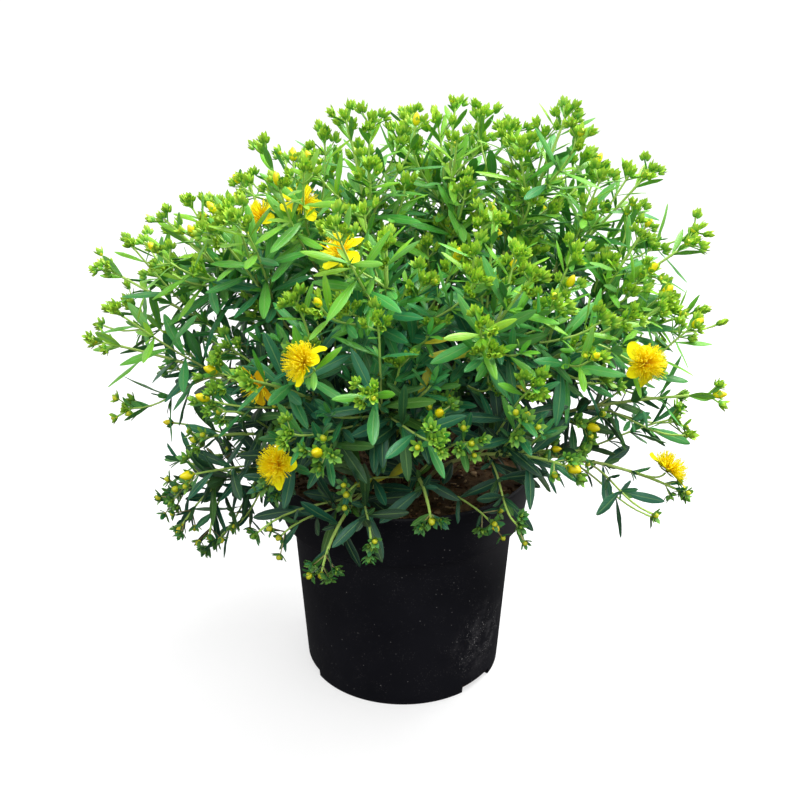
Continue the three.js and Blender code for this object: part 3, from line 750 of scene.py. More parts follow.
# Gathers blades and tubes, each with its finish, and makes one mesh of them.
class Skin:
    def __init__(self):
        self.blades = defaultdict(list)
        self.parts = []
        self.count = 0

    def grow(self, finish, form, *place, **look):
        self.blades[finish, id(form)].append((form, Blade(*place, **look)))

    def add(self, points, faces, finish, marks, tones):
        self.parts.append((points, np.where(faces < 0, -1, faces + self.count), finish, marks, tones))
        self.count += len(points)

    def spread_blades(self):
        for (finish, _), grown in self.blades.items():
            form = grown[0][0]
            blades = [blade for _, blade in grown]
            points, marks = blade_points(blades, form)
            faces = spindle_faces(len(form.stations), len(form.across))
            each = points.shape[1]
            shift = (np.arange(len(blades)) * each)[:, None, None]
            all_faces = np.where(faces < 0, -1, faces + shift).reshape(-1, 4)
            tones = np.array([(blade.age, blade.tint, blade.wilt) for blade in blades])
            self.add(points.reshape(-1, 3), all_faces, finish,
                     np.tile(marks, (len(blades), 1)), np.repeat(tones, each, axis=0))

    def tube(self, path, distances, radii, sides, finish, tones):
        rows = [path.at(distance) for distance in distances]
        middles = np.array([row[0] for row in rows])
        directions = np.gradient(middles, axis=0)
        directions /= np.linalg.norm(directions, axis=1, keepdims=True)
        across = np.array([squared(row[2], direction) for row, direction in zip(rows, directions)])
        other = np.cross(directions, across)
        angles = round_angles(sides)
        spokes = across[:, None] * np.cos(angles)[:, None] + other[:, None] * np.sin(angles)[:, None]
        rings = middles[:, None] + spokes * np.array(radii)[:, None, None]
        points = np.concatenate([middles[:1], rings.reshape(-1, 3), middles[-1:]])
        tones = np.repeat(np.array(tones), sides, axis=0)
        tones = np.concatenate([tones[:1], tones, tones[-1:]])
        share = np.repeat(np.array(distances) / path.length, sides)
        marks = np.stack([share, np.tile(angles, len(rows)), np.zeros(len(share))], 1)
        marks = np.concatenate([marks[:1], marks, marks[-1:]])
        self.add(points, spindle_faces(len(rows), sides), finish, marks, tones)

    def mesh(self, name, finishes):
        self.spread_blades()
        used = sorted({part[2] for part in self.parts})
        points = np.concatenate([part[0] for part in self.parts]) * MM
        faces = np.concatenate([part[1] for part in self.parts])
        sizes = (faces >= 0).sum(1)
        corners = faces[faces >= 0]
        mesh = bpy.data.meshes.new(name)
        mesh.vertices.add(len(points))
        mesh.vertices.foreach_set("co", points.ravel())
        mesh.loops.add(len(corners))
        mesh.loops.foreach_set("vertex_index", corners)
        mesh.polygons.add(len(faces))
        mesh.polygons.foreach_set("loop_start", np.cumsum(sizes) - sizes)
        slots = np.concatenate([np.full(len(part[1]), used.index(part[2])) for part in self.parts])
        mesh.polygons.foreach_set("material_index", slots)
        mesh.update(calc_edges=True)
        for label, column in (("blade", 3), ("tone", 4)):
            values = np.concatenate([part[column] for part in self.parts]).astype(float)
            mesh.attributes.new(label, "FLOAT_VECTOR", "POINT").data.foreach_set("vector", values.ravel())
        mesh.shade_smooth()
        mesh.set_sharp_from_angle(angle=math.radians(SHARP["plant"]))
        for finish in used:
            mesh.materials.append(finishes[finish])
        return mesh


def add_piece(name, mesh, node):
    piece = bpy.data.objects.new(name, mesh)
    bpy.context.scene.collection.objects.link(piece)
    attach(piece, "root")
    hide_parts(node)
    return piece


# The way the light comes from for a loose leaf: from above, a little from outside and from the front.
def light_side(point):
    outwards = vector((point[0], point[1], 0)) / max(1, span_of(point))
    return unit(UP + outwards * LIGHT_SIDE["outwards"] - vector((0, LIGHT_SIDE["front"], 0)))


# One leaf of a pair: its root on the shoot, the way it points, its upper face and its size.
def leaf_at(path, from_tip, turn, shrink, key, light=UP):
    point, direction, across = path.at(path.length - from_tip)
    aside = turned(across, direction, turn)
    grown = min(1, from_tip / YOUNG["reach"])
    lean = at_share(LEAF_LEAN, grown) + swing(LEAN_SPREAD, *key, 5)
    ahead = tilted(direction, aside, lean)
    inner = mixed(direction, math.sin(math.radians(lean)), aside, -math.cos(math.radians(lean)))
    face = squared(inner + light * LIGHT_PULL, ahead)
    length = between(LEAF_LENGTH, *key, 6) * (YOUNG["share"] + (1 - YOUNG["share"]) * grown) * shrink
    return Blade(point, ahead, face, length, length * LEAF_SHARE, between(LEAF_ARCH, *key, 7))


def blade_ball(leaf, share, radius):
    straight = leaf.root + leaf.ahead * leaf.length * share
    return (*(straight - leaf.face * leaf.arch * leaf.length * share * share), radius)


def leaf_balls(leaf):
    return [blade_ball(leaf, share, leaf.width / 2 + LEAF_BALLS["margin"]) for share in LEAF_BALLS["shares"]]


def loose_leaf_balls(leaf):
    radius = leaf.width * LOOSE_LEAF_BALLS["radius"]
    return [blade_ball(leaf, share, radius) for share in LOOSE_LEAF_BALLS["shares"]]


# How old and how shaded a leaf looks: young near the tip, darker low down and inside as painted shade, and
# lighter far out from the middle as painted light.
def age_and_shade_of(point, from_tip, *key):
    # Painted light and shade: the lower a leaf stands the darker it is drawn, and standing far out counts as
    # standing higher.
    lift = max(0, span_of(point) - AGE_AND_SHADE["outer_from"])
    height = point[2] + lift - AGE_AND_SHADE["dark_at"]
    lowness = 1 - clamped(height / (AGE_AND_SHADE["light_at"] - AGE_AND_SHADE["dark_at"]))
    grown = min(1, from_tip / AGE_AND_SHADE["reach"])
    age = AGE_AND_SHADE["least"] + AGE_AND_SHADE["along"] * grown + AGE_AND_SHADE["low"] * lowness + swing(AGE_AND_SHADE["spread"], *key, 31)
    return clamped(age)


def is_yellowed(leaf):
    middle = blade_ball(leaf, 0.5, 0)[:3]
    return any(math.dist(middle, place) < YELLOWED["within"] for place in YELLOWED["places"])


def grow_leaf(skin, leaf, from_tip, key):
    height = (leaf.root[2] - LEAF_NARROWING["from"]) / (LEAF_NARROWING["to"] - LEAF_NARROWING["from"])
    is_wilted = is_yellowed(leaf) and draw(*key, 37) < YELLOWED["chance"]
    skin.grow("leaf", LEAF_FORM, *leaf._replace(
        width=leaf.width * (1 - LEAF_NARROWING["share"] * clamped(height)),
        sickle=swing(LEAF_SICKLE, *key, 33),
        twist=swing(LEAF_TWIST, *key, 34),
        age=age_and_shade_of(leaf.root, from_tip, *key),
        tint=draw(*key, 35),
        wilt=YELLOWED["least"] + YELLOWED["more"] * draw(*key, 36) if is_wilted else 0,
    ))


# Where the leaves of a shoot may stand: each one's pair, side and distance from the tip.
def leaf_places(shoot):
    gap = PAIRS[shoot.kind]["gap"]
    return [(pair, side, PAIR_START + pair * gap) for pair in range(PAIRS_AT_MOST) for side in (0, 1)]


def pair_turn(number, shoot, pair, side):
    wobble = math.radians(swing(LEAF_WOBBLE, number, shoot.key, pair, side, 8))
    return math.pi * draw(number, shoot.key, 4) + (pair / 2 + side) * math.pi + wobble


# The turns that a leaf tries until it has room, with its size at each.
def tries(number, shoot, pair, side):
    first = pair_turn(number, shoot, pair, side)
    return [(first + math.radians(turn), 1 - LEAF_SHRINK * k) for k, turn in enumerate(LEAF_TURNS)]


# The leaves of a shoot's kept pairs, where the solids have them.
def kept_leaves(room, skin, shoot, number):
    rule = PAIRS[shoot.kind]
    for pair, side, from_tip in leaf_places(shoot):
        if pair not in rule["kept"] or from_tip > shoot.coarse.length * rule["leafy"]:
            continue
        key = (number, shoot.key, pair, side)
        for turn, shrink in tries(number, shoot, pair, side):
            balls = leaf_balls(leaf_at(shoot.coarse, from_tip, turn, shrink, key))
            if room.is_free(balls, number):
                room.take(balls, number)
                grow_leaf(skin, leaf_at(shoot.fine, from_tip, turn, shrink, key), from_tip, key)
                break


# The height that foliage at a place doesn't hang below.
def underside(point):
    return UNDERSIDE["middle"] + UNDERSIDE["rise"] * max(0, span_of(point) - UNDERSIDE["from"])


# How far the stems' tips reach from the bush's middle in the direction of a place.
def bush_reach(place):
    spans = np.array([tip for tip, _ in STEMS.values()], float) - BUSH["middle"]
    sizes = np.linalg.norm(spans, axis=1)
    nearness = np.maximum(spans @ unit(place - vector(BUSH["middle"])) / sizes, 0) ** BUSH["sharpness"]
    return nearness @ sizes / nearness.sum()


def is_in(box, point):
    return all(low < value < high for low, value, high in zip(box["low"], point[:3], box["high"]))


# The leaves of all other pairs, which may come nearer to each other.
def other_leaves(room, skin, shoot, number, may_hang):
    rule = PAIRS[shoot.kind]
    path = shoot.fine
    for pair, side, from_tip in leaf_places(shoot):
        if pair in rule["kept"] or from_tip > path.length * min(1, rule["leafy"] + LEAFIER):
            continue
        light = light_side(path.at(path.length - from_tip)[0])
        key = (number, shoot.key, pair, side)
        for turn, shrink in tries(number, shoot, pair, side):
            leaf = leaf_at(path, from_tip, turn, shrink, key, light)
            balls = loose_leaf_balls(leaf)
            middle, end = balls[1:]
            hangs = not may_hang and end[2] < underside(end) - UNDERSIDE["leaf"]
            hides_soil = is_in(SOIL_VIEW, middle) or is_in(SOIL_VIEW, end)
            if not hangs and not hides_soil and room.is_free(balls, None, 0):
                room.take(balls, number)
                grow_leaf(skin, leaf, from_tip, key)
                break


# A small leaf of a tuft, a rosette or a side stalk, grown by its own rule.
def small_leaf(skin, rule, root, direction, aside, age, keys, size=1):
    lean_key, length_key, tint_key = rule["keys"]
    along, against = rule["facing"]
    ahead = tilted(direction, aside, between(rule["lean"], *keys, lean_key))
    face = squared(direction * along - aside * against + UP * LIGHT_PULL, ahead)
    length = between(rule["length"], *keys, length_key) * size
    skin.grow("leaf", SMALL_LEAF_FORM, root, ahead, face, length, length * rule["share"], SMALL_ARCH,
              age=age, tint=draw(*keys, tint_key))


# Small leaves that stand in tufts where the pairs leave the shoot.
def tufts(skin, shoot, number):
    path = shoot.fine
    for pair, side, from_tip in leaf_places(shoot):
        is_leafy = TUFTS["from_tip"] <= from_tip <= path.length * PAIRS[shoot.kind]["leafy"]
        if side or not is_leafy or draw(number, shoot.key, pair, 41) > TUFTS["chance"]:
            continue
        point, direction, across = path.at(path.length - from_tip)
        for k in range(TUFTS["leaves"]):
            key = (number, shoot.key, pair, k)
            turn = pair_turn(number, shoot, pair, k % 2) + (k - 1.5) * TUFTS["apart"]
            age = age_and_shade_of(point, from_tip * TUFTS["youth"], *key)
            small_leaf(skin, TUFT, point, direction, turned(across, direction, turn), age, key)


def blend(one, other, share):
    return tuple(at_share(limits, share) for limits in zip(one, other))


# A bud with its sepals round it.
def bud(skin, root, direction, across, kind, size, openness, age, *key):
    rule = BUDS[kind]
    length = between(rule["length"], *key, 51) * size
    face = turned(across, direction, draw(*key, 52) * math.pi)
    skin.grow("ripe_bud" if kind == "ripe" else "bud", BUD_FORMS[kind], root, direction, face, length,
              length * rule["share"], age=age, tint=draw(*key, 53), wilt=kind == "round")
    tight, wide = SEPAL["tight"], SEPAL["open"]
    lean = blend(tight["lean"], wide["lean"], openness)
    reaches = blend(tight["length"], wide["length"], openness)
    arch = at_share((tight["arch"], wide["arch"]), openness)
    for k in range(SEPALS):
        aside = turned(face, direction, math.tau * (k + SEPAL["spin"] * draw(*key, k, 54)) / SEPALS)
        ahead = tilted(direction, aside, between(lean, *key, k, 55))
        reach = between(reaches, *key, k, 56) * size
        face_in = squared(direction - aside, ahead)
        skin.grow("sepal", SEPAL_FORM, root + aside * SEPAL["foot"], ahead, face_in, reach,
                  reach * SEPAL["share"], arch, age=age, tint=draw(*key, k, 57))


# A head: a few green buds close together, or one round or ripe bud.
def head(skin, root, direction, across, kind, size, openness, age, *key):
    bud(skin, root, direction, across, kind, size * HEAD["main"], openness, age, *key, 58)
    if kind != "green":
        return
    first = draw(*key, 48) * math.pi
    for k in range(HEAD["side_buds"]):
        aside = turned(across, direction, first + math.tau * k / HEAD["side_buds"])
        way = tilted(direction, aside, between(HEAD["lean"], *key, k, 49))
        bud(skin, root + aside * HEAD["foot"] - direction, way, square_to(way), kind,
            size * HEAD["side"], openness * HEAD["closing"], age, *key, k, 50)


# The heads on a shoot's tip: one on top, and pairs on side stalks with a bract under each.
def cluster(skin, path, number, key, is_sparse):
    tip, direction = path.points[-1], path.end
    across = squared(path.across[-1], direction)
    lowness = 1 - clamped((tip[2] - CLUSTER["low"]) / CLUSTER["rise"])
    # Heads low in the bush are drawn darker, partly older and partly painted shade.
    age = age_and_shade_of(tip, 0, number, key) * (CLUSTER["young"] + CLUSTER["ageing_and_shade"] * lowness)
    opening = CLUSTER["open"] + CLUSTER["opening"] * lowness
    openness = clamped(opening + swing(CLUSTER["spread"], number, key, 46))
    size = CLUSTER["size"] + CLUSTER["more"] * draw(number, key, 60)
    stalk_share = at_share((SIDE_STALK["tight"], 1), lowness)

    def kind_of(*keys):
        return "round" if draw(*keys) < openness - CLUSTER["round"] else "green"

    kind = "ripe" if draw(number, key, 61) < RIPE_CHANCE else kind_of(number, key, 62)
    skin.grow("bark", STALK_FORM, tip - direction, direction, across, NECK + 1, 2 * SHOOT_RADIUS["tip"])
    head(skin, tip + direction * NECK, direction, across, kind, size, openness, age, number, key, 45)
    first = math.pi * draw(number, key, 63)
    pairs = 0 if is_sparse else 1 + (draw(number, key, 64) < SIDE_STALK["second"])
    for pair in range(pairs):
        root = tip - direction * (pair * SIDE_STALK["gap"])
        for side in (0, 1):
            keys = (number, key, pair, side)
            aside = turned(across, direction, first + (pair / 2 + side) * math.pi)
            way = tilted(direction, aside, between(SIDE_STALK["lean"], *keys, 65))
            reach = between(SIDE_STALK["length"], *keys, 66) * size * stalk_share
            skin.grow("bark", STALK_FORM, root, way, squared(direction, way), reach,
                      2 * SIDE_STALK["radius"], age=age)
            upright = mixed(way, 1, direction, SIDE_STALK["upright"])
            end = root + way * (reach - SIDE_STALK["overlap"])
            head(skin, end, upright, square_to(upright), kind_of(*keys, 67), size * SIDE_STALK["head"],
                 openness, age, *keys, 68)
            small_leaf(skin, BRACT, root - direction, direction, aside, age + BRACT_AGE, keys, size)


# Whether a shoot ends in flower heads.
def bears_heads(shoot, number):
    if shoot.kind != "sprig" or shoot.key >= POSED_KEY:
        return shoot.kind != "bloom"
    height = shoot.fine.points[-1][2]
    share = (height - HEADS["seldom_at"]) / (HEADS["often_at"] - HEADS["seldom_at"])
    chance = max(HEADS["least"], min(1, share))
    if shoot.key >= LOW_SPRIGS["first"]:
        chance *= HEADS["inner"]
    return draw(number, shoot.key, 47) < chance


# The small leaves at the end of a shoot without heads.
def rosette(skin, path, number, key):
    tip, direction = path.points[-1], path.end
    across = squared(path.across[-1], direction)
    for k in range(ROSETTES["leaves"]):
        keys = (number, key, k)
        turn = math.tau * (k + ROSETTES["spin"] * draw(*keys, 38)) / ROSETTES["leaves"]
        age = age_and_shade_of(tip, ROSETTES["from_tip"], *keys)
        small_leaf(skin, ROSETTE, tip - direction, direction, turned(across, direction, turn), age, keys)


# The tube of a stem or shoot, a little thicker where each pair of leaves stands.
def shoot_tube(skin, shoot, number):
    path = shoot.fine
    gap = PAIRS[shoot.kind]["gap"]
    ends = STEM_RADIUS if shoot.kind == "stem" else SHOOT_RADIUS
    swelling = {}
    for pair in range(PAIRS_AT_MOST):
        node = path.length - PAIR_START - pair * gap
        if TUBE["margin"] < node < path.length - TUBE["margin"]:
            for shift in (-TUBE["half"], 0, TUBE["half"]):
                swelling[node + shift] = 1 + TUBE["swell"] * (shift == 0)
    for distance in (0, *path.reached[1:-1], path.length - TUBE["end"]):
        if all(abs(distance - other) > TUBE["clear"] for other in swelling):
            swelling[distance] = 1
    distances = sorted(swelling)
    radii, tones = [], []
    for distance in distances:
        radius = at_share((ends["root"], ends["tip"]), distance / path.length) * SLIMNESS
        radii.append(radius * swelling[distance])
        age = min(1, (path.length - distance) / TUBE["old"])
        tones.append((age, draw(number, shoot.key, 81), 0))
    skin.tube(path, distances, radii, TUBE_SIDES[shoot.kind], "bark", tones)


def grow_plant(finishes):
    low, high = (np.array(corner) / MM for corner in CAD_BOX)
    middle = vector(BUSH["middle"])

    def has_place(name, tip):
        if np.any(tip < low + SPRIG_MARGIN) or np.any(tip > high - SPRIG_MARGIN) or is_in(DARK_VIEW, tip):
            return False
        if length_of(tip - vector(STEMS[name][0])) < TRAILING.get(name, 0):
            return True
        return tip[2] > underside(tip) and length_of(tip - middle) < bush_reach(tip) - BUSH["inside"]

    room = Room()
    numbers = {name: number for number, name in enumerate(STEMS)}
    stems = [stem_shoot(root, *stem) for root, stem in zip(stem_roots(), STEMS.values())]
    shoots = [[stem] for stem in stems]
    skins = [Skin() for _ in stems]
    for number, stem in enumerate(stems):
        room.take(shoot_balls(stem.coarse, STEM_RADIUS["root"], HOLE_DEPTH), number)
    for name, bloom in BLOOMS.items():
        number = numbers[bloom["on"]]
        shoot = bloom_shoot(stems[number], bloom)
        shoots[number].append(shoot)
        room.take(shoot.coarse.balls(SHOOT_RADIUS["root"], TUBE_BALLS["after"]), number)
        room.take([bloom_ball(bloom)], name)
    for number, stem in enumerate(stems):
        shoots[number] += fan_of_shoots(
            room, stem, number, SHOOTS, SHOOTS["count"], "shoot", lambda tip: True)
    for number, skin in enumerate(skins):
        for shoot in shoots[number]:
            kept_leaves(room, skin, shoot, number)
    for key, (name, *place) in enumerate(POSED_SPRIGS, POSED_KEY):
        number = numbers[name]
        shoot = posed_sprig(stems[number], *place, key)
        shoots[number].append(shoot)
        room.take(shoot_balls(shoot.coarse), number)
    for fan in (SPRIGS, LOW_SPRIGS):
        for name, number in numbers.items():
            count = min(fan["count"], FEW_SPRIGS.get(name, fan["count"]))
            shoots[number] += fan_of_shoots(
                room, stems[number], number, fan, count, "sprig", lambda tip: has_place(name, tip))
    for name, number in numbers.items():
        skin = skins[number]
        for shoot in shoots[number]:
            is_sparse = shoot.kind == "shoot" and shoot.key in SPARSE.get(name, [])
            if not is_sparse:
                other_leaves(room, skin, shoot, number, name in TRAILING)
            tufts(skin, shoot, number)
            shoot_tube(skin, shoot, number)
            if bears_heads(shoot, number):
                cluster(skin, shoot.fine, number, shoot.key, is_sparse)
            elif shoot.kind != "bloom":
                rosette(skin, shoot.fine, number, shoot.key)
        add_piece("leafy_" + name, skin.mesh("leafy_" + name, finishes), "stem_" + name)


# The petals of a bloom, and a sepal behind each gap between them.
def grow_petals(skin, bloom, number, direction, across, base):
    for k in range(PETALS):
        angle = math.tau * k / PETALS + draw(number, k, 11) * PETAL["spin"]
        ahead = mixed(turned(across, direction, angle), 1, direction, PETAL["cup"])
        reach = PETAL["reach"] * math.hypot(1, PETAL["cup"])
        arch = PETAL["droop"] * (draw(number, k, 92) - PETAL["lift"])
        if k in bloom.get("curled", []):
            reach *= PETAL["curled_size"]
            arch = PETAL["curl"]
        width = PETAL["width"] * (PETAL["least"] + PETAL["more"] * draw(number, k, 91))
        twist = PETAL["twist"] * (draw(number, k, 93) - PETAL["untwist"])
        root = base + direction * HEART["middle"]
        skin.grow("petal", PETAL_FORM, root, ahead, squared(direction, ahead), reach, width, arch,
                  PETAL["sickle"], twist, tint=draw(number, k, 94), wilt=bloom.get("withered", 0))
        aside = turned(across, direction, angle + math.pi / PETALS)
        ahead = mixed(aside, 1, direction, BLOOM_SEPAL_CUP)
        skin.grow("sepal", SEPAL_FORM, base, ahead, squared(direction, ahead), **BLOOM_SEPAL,
                  tint=draw(number, k, 95))


# The brush of stamens, spread evenly over a dome, each with its anther.
def grow_stamens(skin, bloom, number, direction, across, base):
    lowest, highest = (math.sin(math.radians(rise)) for rise in STAMEN["rise"])
    for k in range(round(STAMENS * bloom.get("brush", 1))):
        rise = math.degrees(math.asin(at_share((lowest, highest), draw(number, k, 96))))
        outwards = turned(across, direction, math.tau * draw(number, k, 97))
        ahead = tilted(outwards, direction, rise)
        face = squared(direction, ahead)
        length = between(STAMEN["length"], number, k, 98)
        arch = STAMEN["arch"] * (draw(number, k, 99) - STAMEN["unbent"])
        root = base + direction * STAMEN["above"] + outwards * STAMEN["outside"]
        skin.grow("stamen", FILAMENT_FORM, root, ahead, face, length, STAMEN["width"], arch,
                  tint=draw(number, k, 100))
        tip = root + ahead * length - face * arch * length
        skin.grow("anther", ANTHER_FORM, tip - ahead * ANTHER["below"], squared(face, ahead), ahead,
                  ANTHER["length"], ANTHER["width"], tint=draw(number, k, 101))


# An open bloom: a heart, five petals with sepals behind, and a brush of stamens.
def open_bloom(name, bloom, number, finishes):
    skin = Skin()
    direction = unit(vector(bloom["facing"]))
    base = vector(bloom["at"])
    across = square_to(direction)
    skin.grow("heart", HEART_FORM, base, direction, across, HEART["height"], HEART["width"])
    grow_petals(skin, bloom, number, direction, across, base)
    grow_stamens(skin, bloom, number, direction, across, base)
    name = "bloom_" + name
    add_piece("open_" + name, skin.mesh("open_" + name, finishes), name)


# A procedural finish, built node by node.
class Finish:
    def __init__(self, name, **settings):
        self.name = name
        self.material = bpy.data.materials.new(name)
        self.material.use_nodes = True
        self.tree = self.material.node_tree
        self.shader = self.tree.nodes["Principled BSDF"]
        for label, value in settings.items():
            self.set(label.replace("_", " ").title().replace("Ior", "IOR"), value)

    def feed(self, socket, value):
        if isinstance(value, bpy.types.NodeSocket):
            self.tree.links.new(value, socket)
        else:
            socket.default_value = value

    def set(self, label, value):
        self.feed(self.shader.inputs[label], value)

    def node(self, kind, inputs, output=0, **settings):
        node = self.tree.nodes.new("ShaderNode" + kind)
        for label, value in settings.items():
            setattr(node, label, value)
        for label, value in inputs.items():
            self.feed(node.inputs[label], value)
        return node.outputs[output]

    def mark(self, label):
        read = self.node("Attribute", {}, "Vector", attribute_name=label)
        return self.node("SeparateXYZ", {0: read}).node.outputs

    def math(self, operation, a, b=0.0):
        return self.node("Math", {0: a, 1: b}, operation=operation)

    def times(self, a, b):
        return self.math("MULTIPLY", a, b)

    def plus(self, a, b):
        return self.math("ADD", a, b)

    def place(self):
        return self.node("TexCoord", {}, "Object")

    def noise(self, scale, detail=3.0, roughness=0.55, distortion=0.0):
        inputs = {"Scale": scale, "Detail": detail, "Roughness": roughness, "Distortion": distortion}
        return self.node("TexNoise", {"Vector": self.place(), **inputs}, "Fac")

    def ramp(self, factor, stops):
        read = self.node("ValToRGB", {"Fac": factor})
        ramp = read.node.color_ramp
        while len(ramp.elements) < len(stops):
            ramp.elements.new(1)
        for element, (position, colour) in zip(ramp.elements, stops):
            element.position = position
            element.color = (*colour, 1)
        return read

    def mix(self, factor, one, other, blend="MIX"):
        colours = [(*value, 1) if isinstance(value, tuple) else value for value in (one, other)]
        inputs = {0: factor, 6: colours[0], 7: colours[1]}
        return self.node("Mix", inputs, 2, data_type="RGBA", blend_type=blend)

    # Small round dots of uneven strength, so many to a metre.
    def dots(self, scale, size):
        cells = self.node("TexVoronoi", {"Vector": self.place(), "Scale": scale}, "Distance")
        strength = self.node("SeparateColor", {"Color": cells.node.outputs["Color"]}, "Red")
        return self.times(self.span(cells, size, size * 0.5), self.span(strength, 0.35, 1.0))

    # How near a place is to the middle of a patch, from 0 at its edge to 1.
    def near(self, patch):
        middle = tuple(value * MM for value in patch["at"])
        apart = self.node("VectorMath", {0: self.place(), 1: middle}, "Value", operation="DISTANCE")
        return self.span(apart, patch["radius"] * MM, 0.0, smooth=True)

    # A value taken from one span to another, held at the ends.
    def span(self, value, low, high, to_low=0.0, to_high=1.0, smooth=False):
        inputs = {"Value": value, "From Min": low, "From Max": high, "To Min": to_low, "To Max": to_high}
        kind = "SMOOTHSTEP" if smooth else "LINEAR"
        return self.node("MapRange", inputs, interpolation_type=kind)

    # A colour with soft spots of another, where a noise is high.
    def spotted(self, colour, other, noise, low, high, share):
        return self.mix(self.span(noise, low, high, 0.0, share), colour, other)

    # Sets the colour and the relief.
    def done(self, colour, height=None, strength=0, distance=0):
        self.set("Base Color", colour)
        if height:
            inputs = {"Height": height, "Strength": strength, "Distance": distance}
            self.set("Normal", self.node("Bump", inputs, "Normal"))
        return self


# The greens run from lime for young, well-lit leaves to dark for old and shaded ones, the shade painted in
# through the age mark, with pale ribs, veins and undersides.
def leaf_finish():
    finish = Finish("leaf", specular_ior_level=0.42, sheen_weight=0.05, sheen_roughness=0.4)
    along, across, under = finish.mark("blade")
    age, tint, wilt = finish.mark("tone")
    off = finish.math("ABSOLUTE", across)
    mottle = finish.noise(320.0, 4.0)
    aged = finish.plus(age, finish.span(mottle, 0.3, 0.7, -0.06, 0.06))
    # The age mark carries painted shade as well as age: low leaves come out darker.
    green = finish.ramp(aged, [
        (0.0, (0.38, 0.70, 0.02)),
        (0.18, (0.18, 0.52, 0.018)),
        (0.36, (0.062, 0.37, 0.032)),
        (0.56, (0.022, 0.22, 0.058)),
        (0.78, (0.007, 0.088, 0.038)),
        (1.0, (0.002, 0.028, 0.015)),
    ])
    warm = finish.mix(finish.span(tint, 0.6, 1.0, 0.0, 0.4), green, (0.14, 0.38, 0.012))
    cool = finish.mix(finish.span(tint, 0.6, 0.0, 0.0, 0.55), warm, (0.016, 0.17, 0.09))
    yellow = finish.mix(finish.noise(60.0), (0.50, 0.52, 0.015), (0.80, 0.72, 0.03))
    colour = finish.mix(wilt, cool, yellow)
    vein_place = finish.math("SUBTRACT", finish.times(along, 9.0), finish.times(off, 2.2))
    veins = finish.span(finish.math("PINGPONG", vein_place, 0.5), 0.05, 0.0, smooth=True)
    rib = finish.span(off, 0.14, 0.04, smooth=True)
    rim = finish.span(off, 0.88, 1.0, 0.0, 0.3, True)
    pale = finish.mix(0.5, colour, (0.30, 0.52, 0.14))
    for share in (finish.times(rib, 0.6), finish.times(veins, 0.28), rim):
        colour = finish.mix(share, colour, pale)
    colour = finish.mix(under, colour, finish.mix(0.6, colour, (0.11, 0.32, 0.13)))
    shade = finish.ramp(mottle, [(0.3, (0.42, 0.42, 0.42)), (0.7, (0.6, 0.6, 0.6))])
    rough = finish.span(under, 0.0, 1.0, 0.36, 0.62)
    finish.set("Roughness", finish.plus(rough, finish.span(mottle, 0.3, 0.7, 0.0, 0.1)))
    lines = finish.plus(rib, finish.times(veins, 0.5))
    relief = finish.math("SUBTRACT", finish.times(mottle, 0.25), lines)
    return finish.done(finish.mix(0.5, colour, shade, "OVERLAY"), relief, 0.5, 0.0004)


def sepal_finish():
    finish = Finish("sepal", specular_ior_level=0.4, roughness=0.45)
    along, across, _ = finish.mark("blade")
    age, tint, _ = finish.mark("tone")
    mottle = finish.noise(420.0, 4.0)
    # The age mark carries painted shade as well as age: heads low in the bush come out darker.
    foot = finish.ramp(age, [
        (0.0, (0.12, 0.44, 0.04)), (0.35, (0.03, 0.21, 0.05)), (0.7, (0.012, 0.12, 0.045))])
    point = finish.ramp(age, [
        (0.0, (0.52, 0.76, 0.05)), (0.35, (0.2, 0.5, 0.04)), (0.7, (0.04, 0.24, 0.05))])
    reached = finish.plus(along, finish.span(mottle, 0.3, 0.7, -0.15, 0.15))
    green = finish.mix(finish.span(reached, 0.3, 0.95), foot, point)
    varied = finish.mix(finish.times(tint, 0.25), green, (0.42, 0.60, 0.03))
    rim = finish.span(finish.math("ABSOLUTE", across), 0.75, 1.0, 0.0, 0.3)
    return finish.done(finish.mix(rim, varied, (0.42, 0.66, 0.12)), mottle, 0.3, 0.0004)


def bark_finish():
    finish = Finish("bark", roughness=0.6)
    age = finish.mark("tone")[0]
    grain = finish.noise(260.0, 4.0)
    aged = finish.plus(age, finish.span(grain, 0.3, 0.7, -0.12, 0.12))
    brown = finish.ramp(aged, [
        (0.0, (0.42, 0.66, 0.12)),
        (0.45, (0.48, 0.60, 0.17)),
        (0.75, (0.36, 0.32, 0.13)),
        (1.0, (0.13, 0.06, 0.03)),
    ])
    return finish.done(brown, grain, 0.4, 0.0005)


def bud_finish():
    finish = Finish("bud", roughness=0.45)
    along = finish.mark("blade")[0]
    age, tint, roundness = finish.mark("tone")
    green = finish.mix(tint, (0.24, 0.50, 0.02), (0.36, 0.56, 0.02))
    tipped = finish.mix(finish.span(along, 0.35, 1.0), green, (0.45, 0.60, 0.03))
    shaded = finish.mix(finish.times(age, 0.65), tipped, (0.06, 0.24, 0.03))
    shaded = finish.mix(finish.times(roundness, 0.8), shaded, (0.72, 0.68, 0.01))
    mottle = finish.noise(500.0)
    return finish.done(
        finish.spotted(shaded, (0.2, 0.42, 0.04), mottle, 0.35, 0.7, 0.3), mottle, 0.3, 0.0004)


def ripe_bud_finish():
    finish = Finish("ripe_bud", roughness=0.38)
    along = finish.mark("blade")[0]
    mottle = finish.noise(380.0)
    base = finish.mix(finish.span(along, 0.0, 0.35), (0.50, 0.60, 0.01), (0.92, 0.80, 0.004))
    return finish.done(
        finish.spotted(base, (0.9, 0.62, 0.002), mottle, 0.4, 0.7, 0.35), mottle, 0.3, 0.0004)


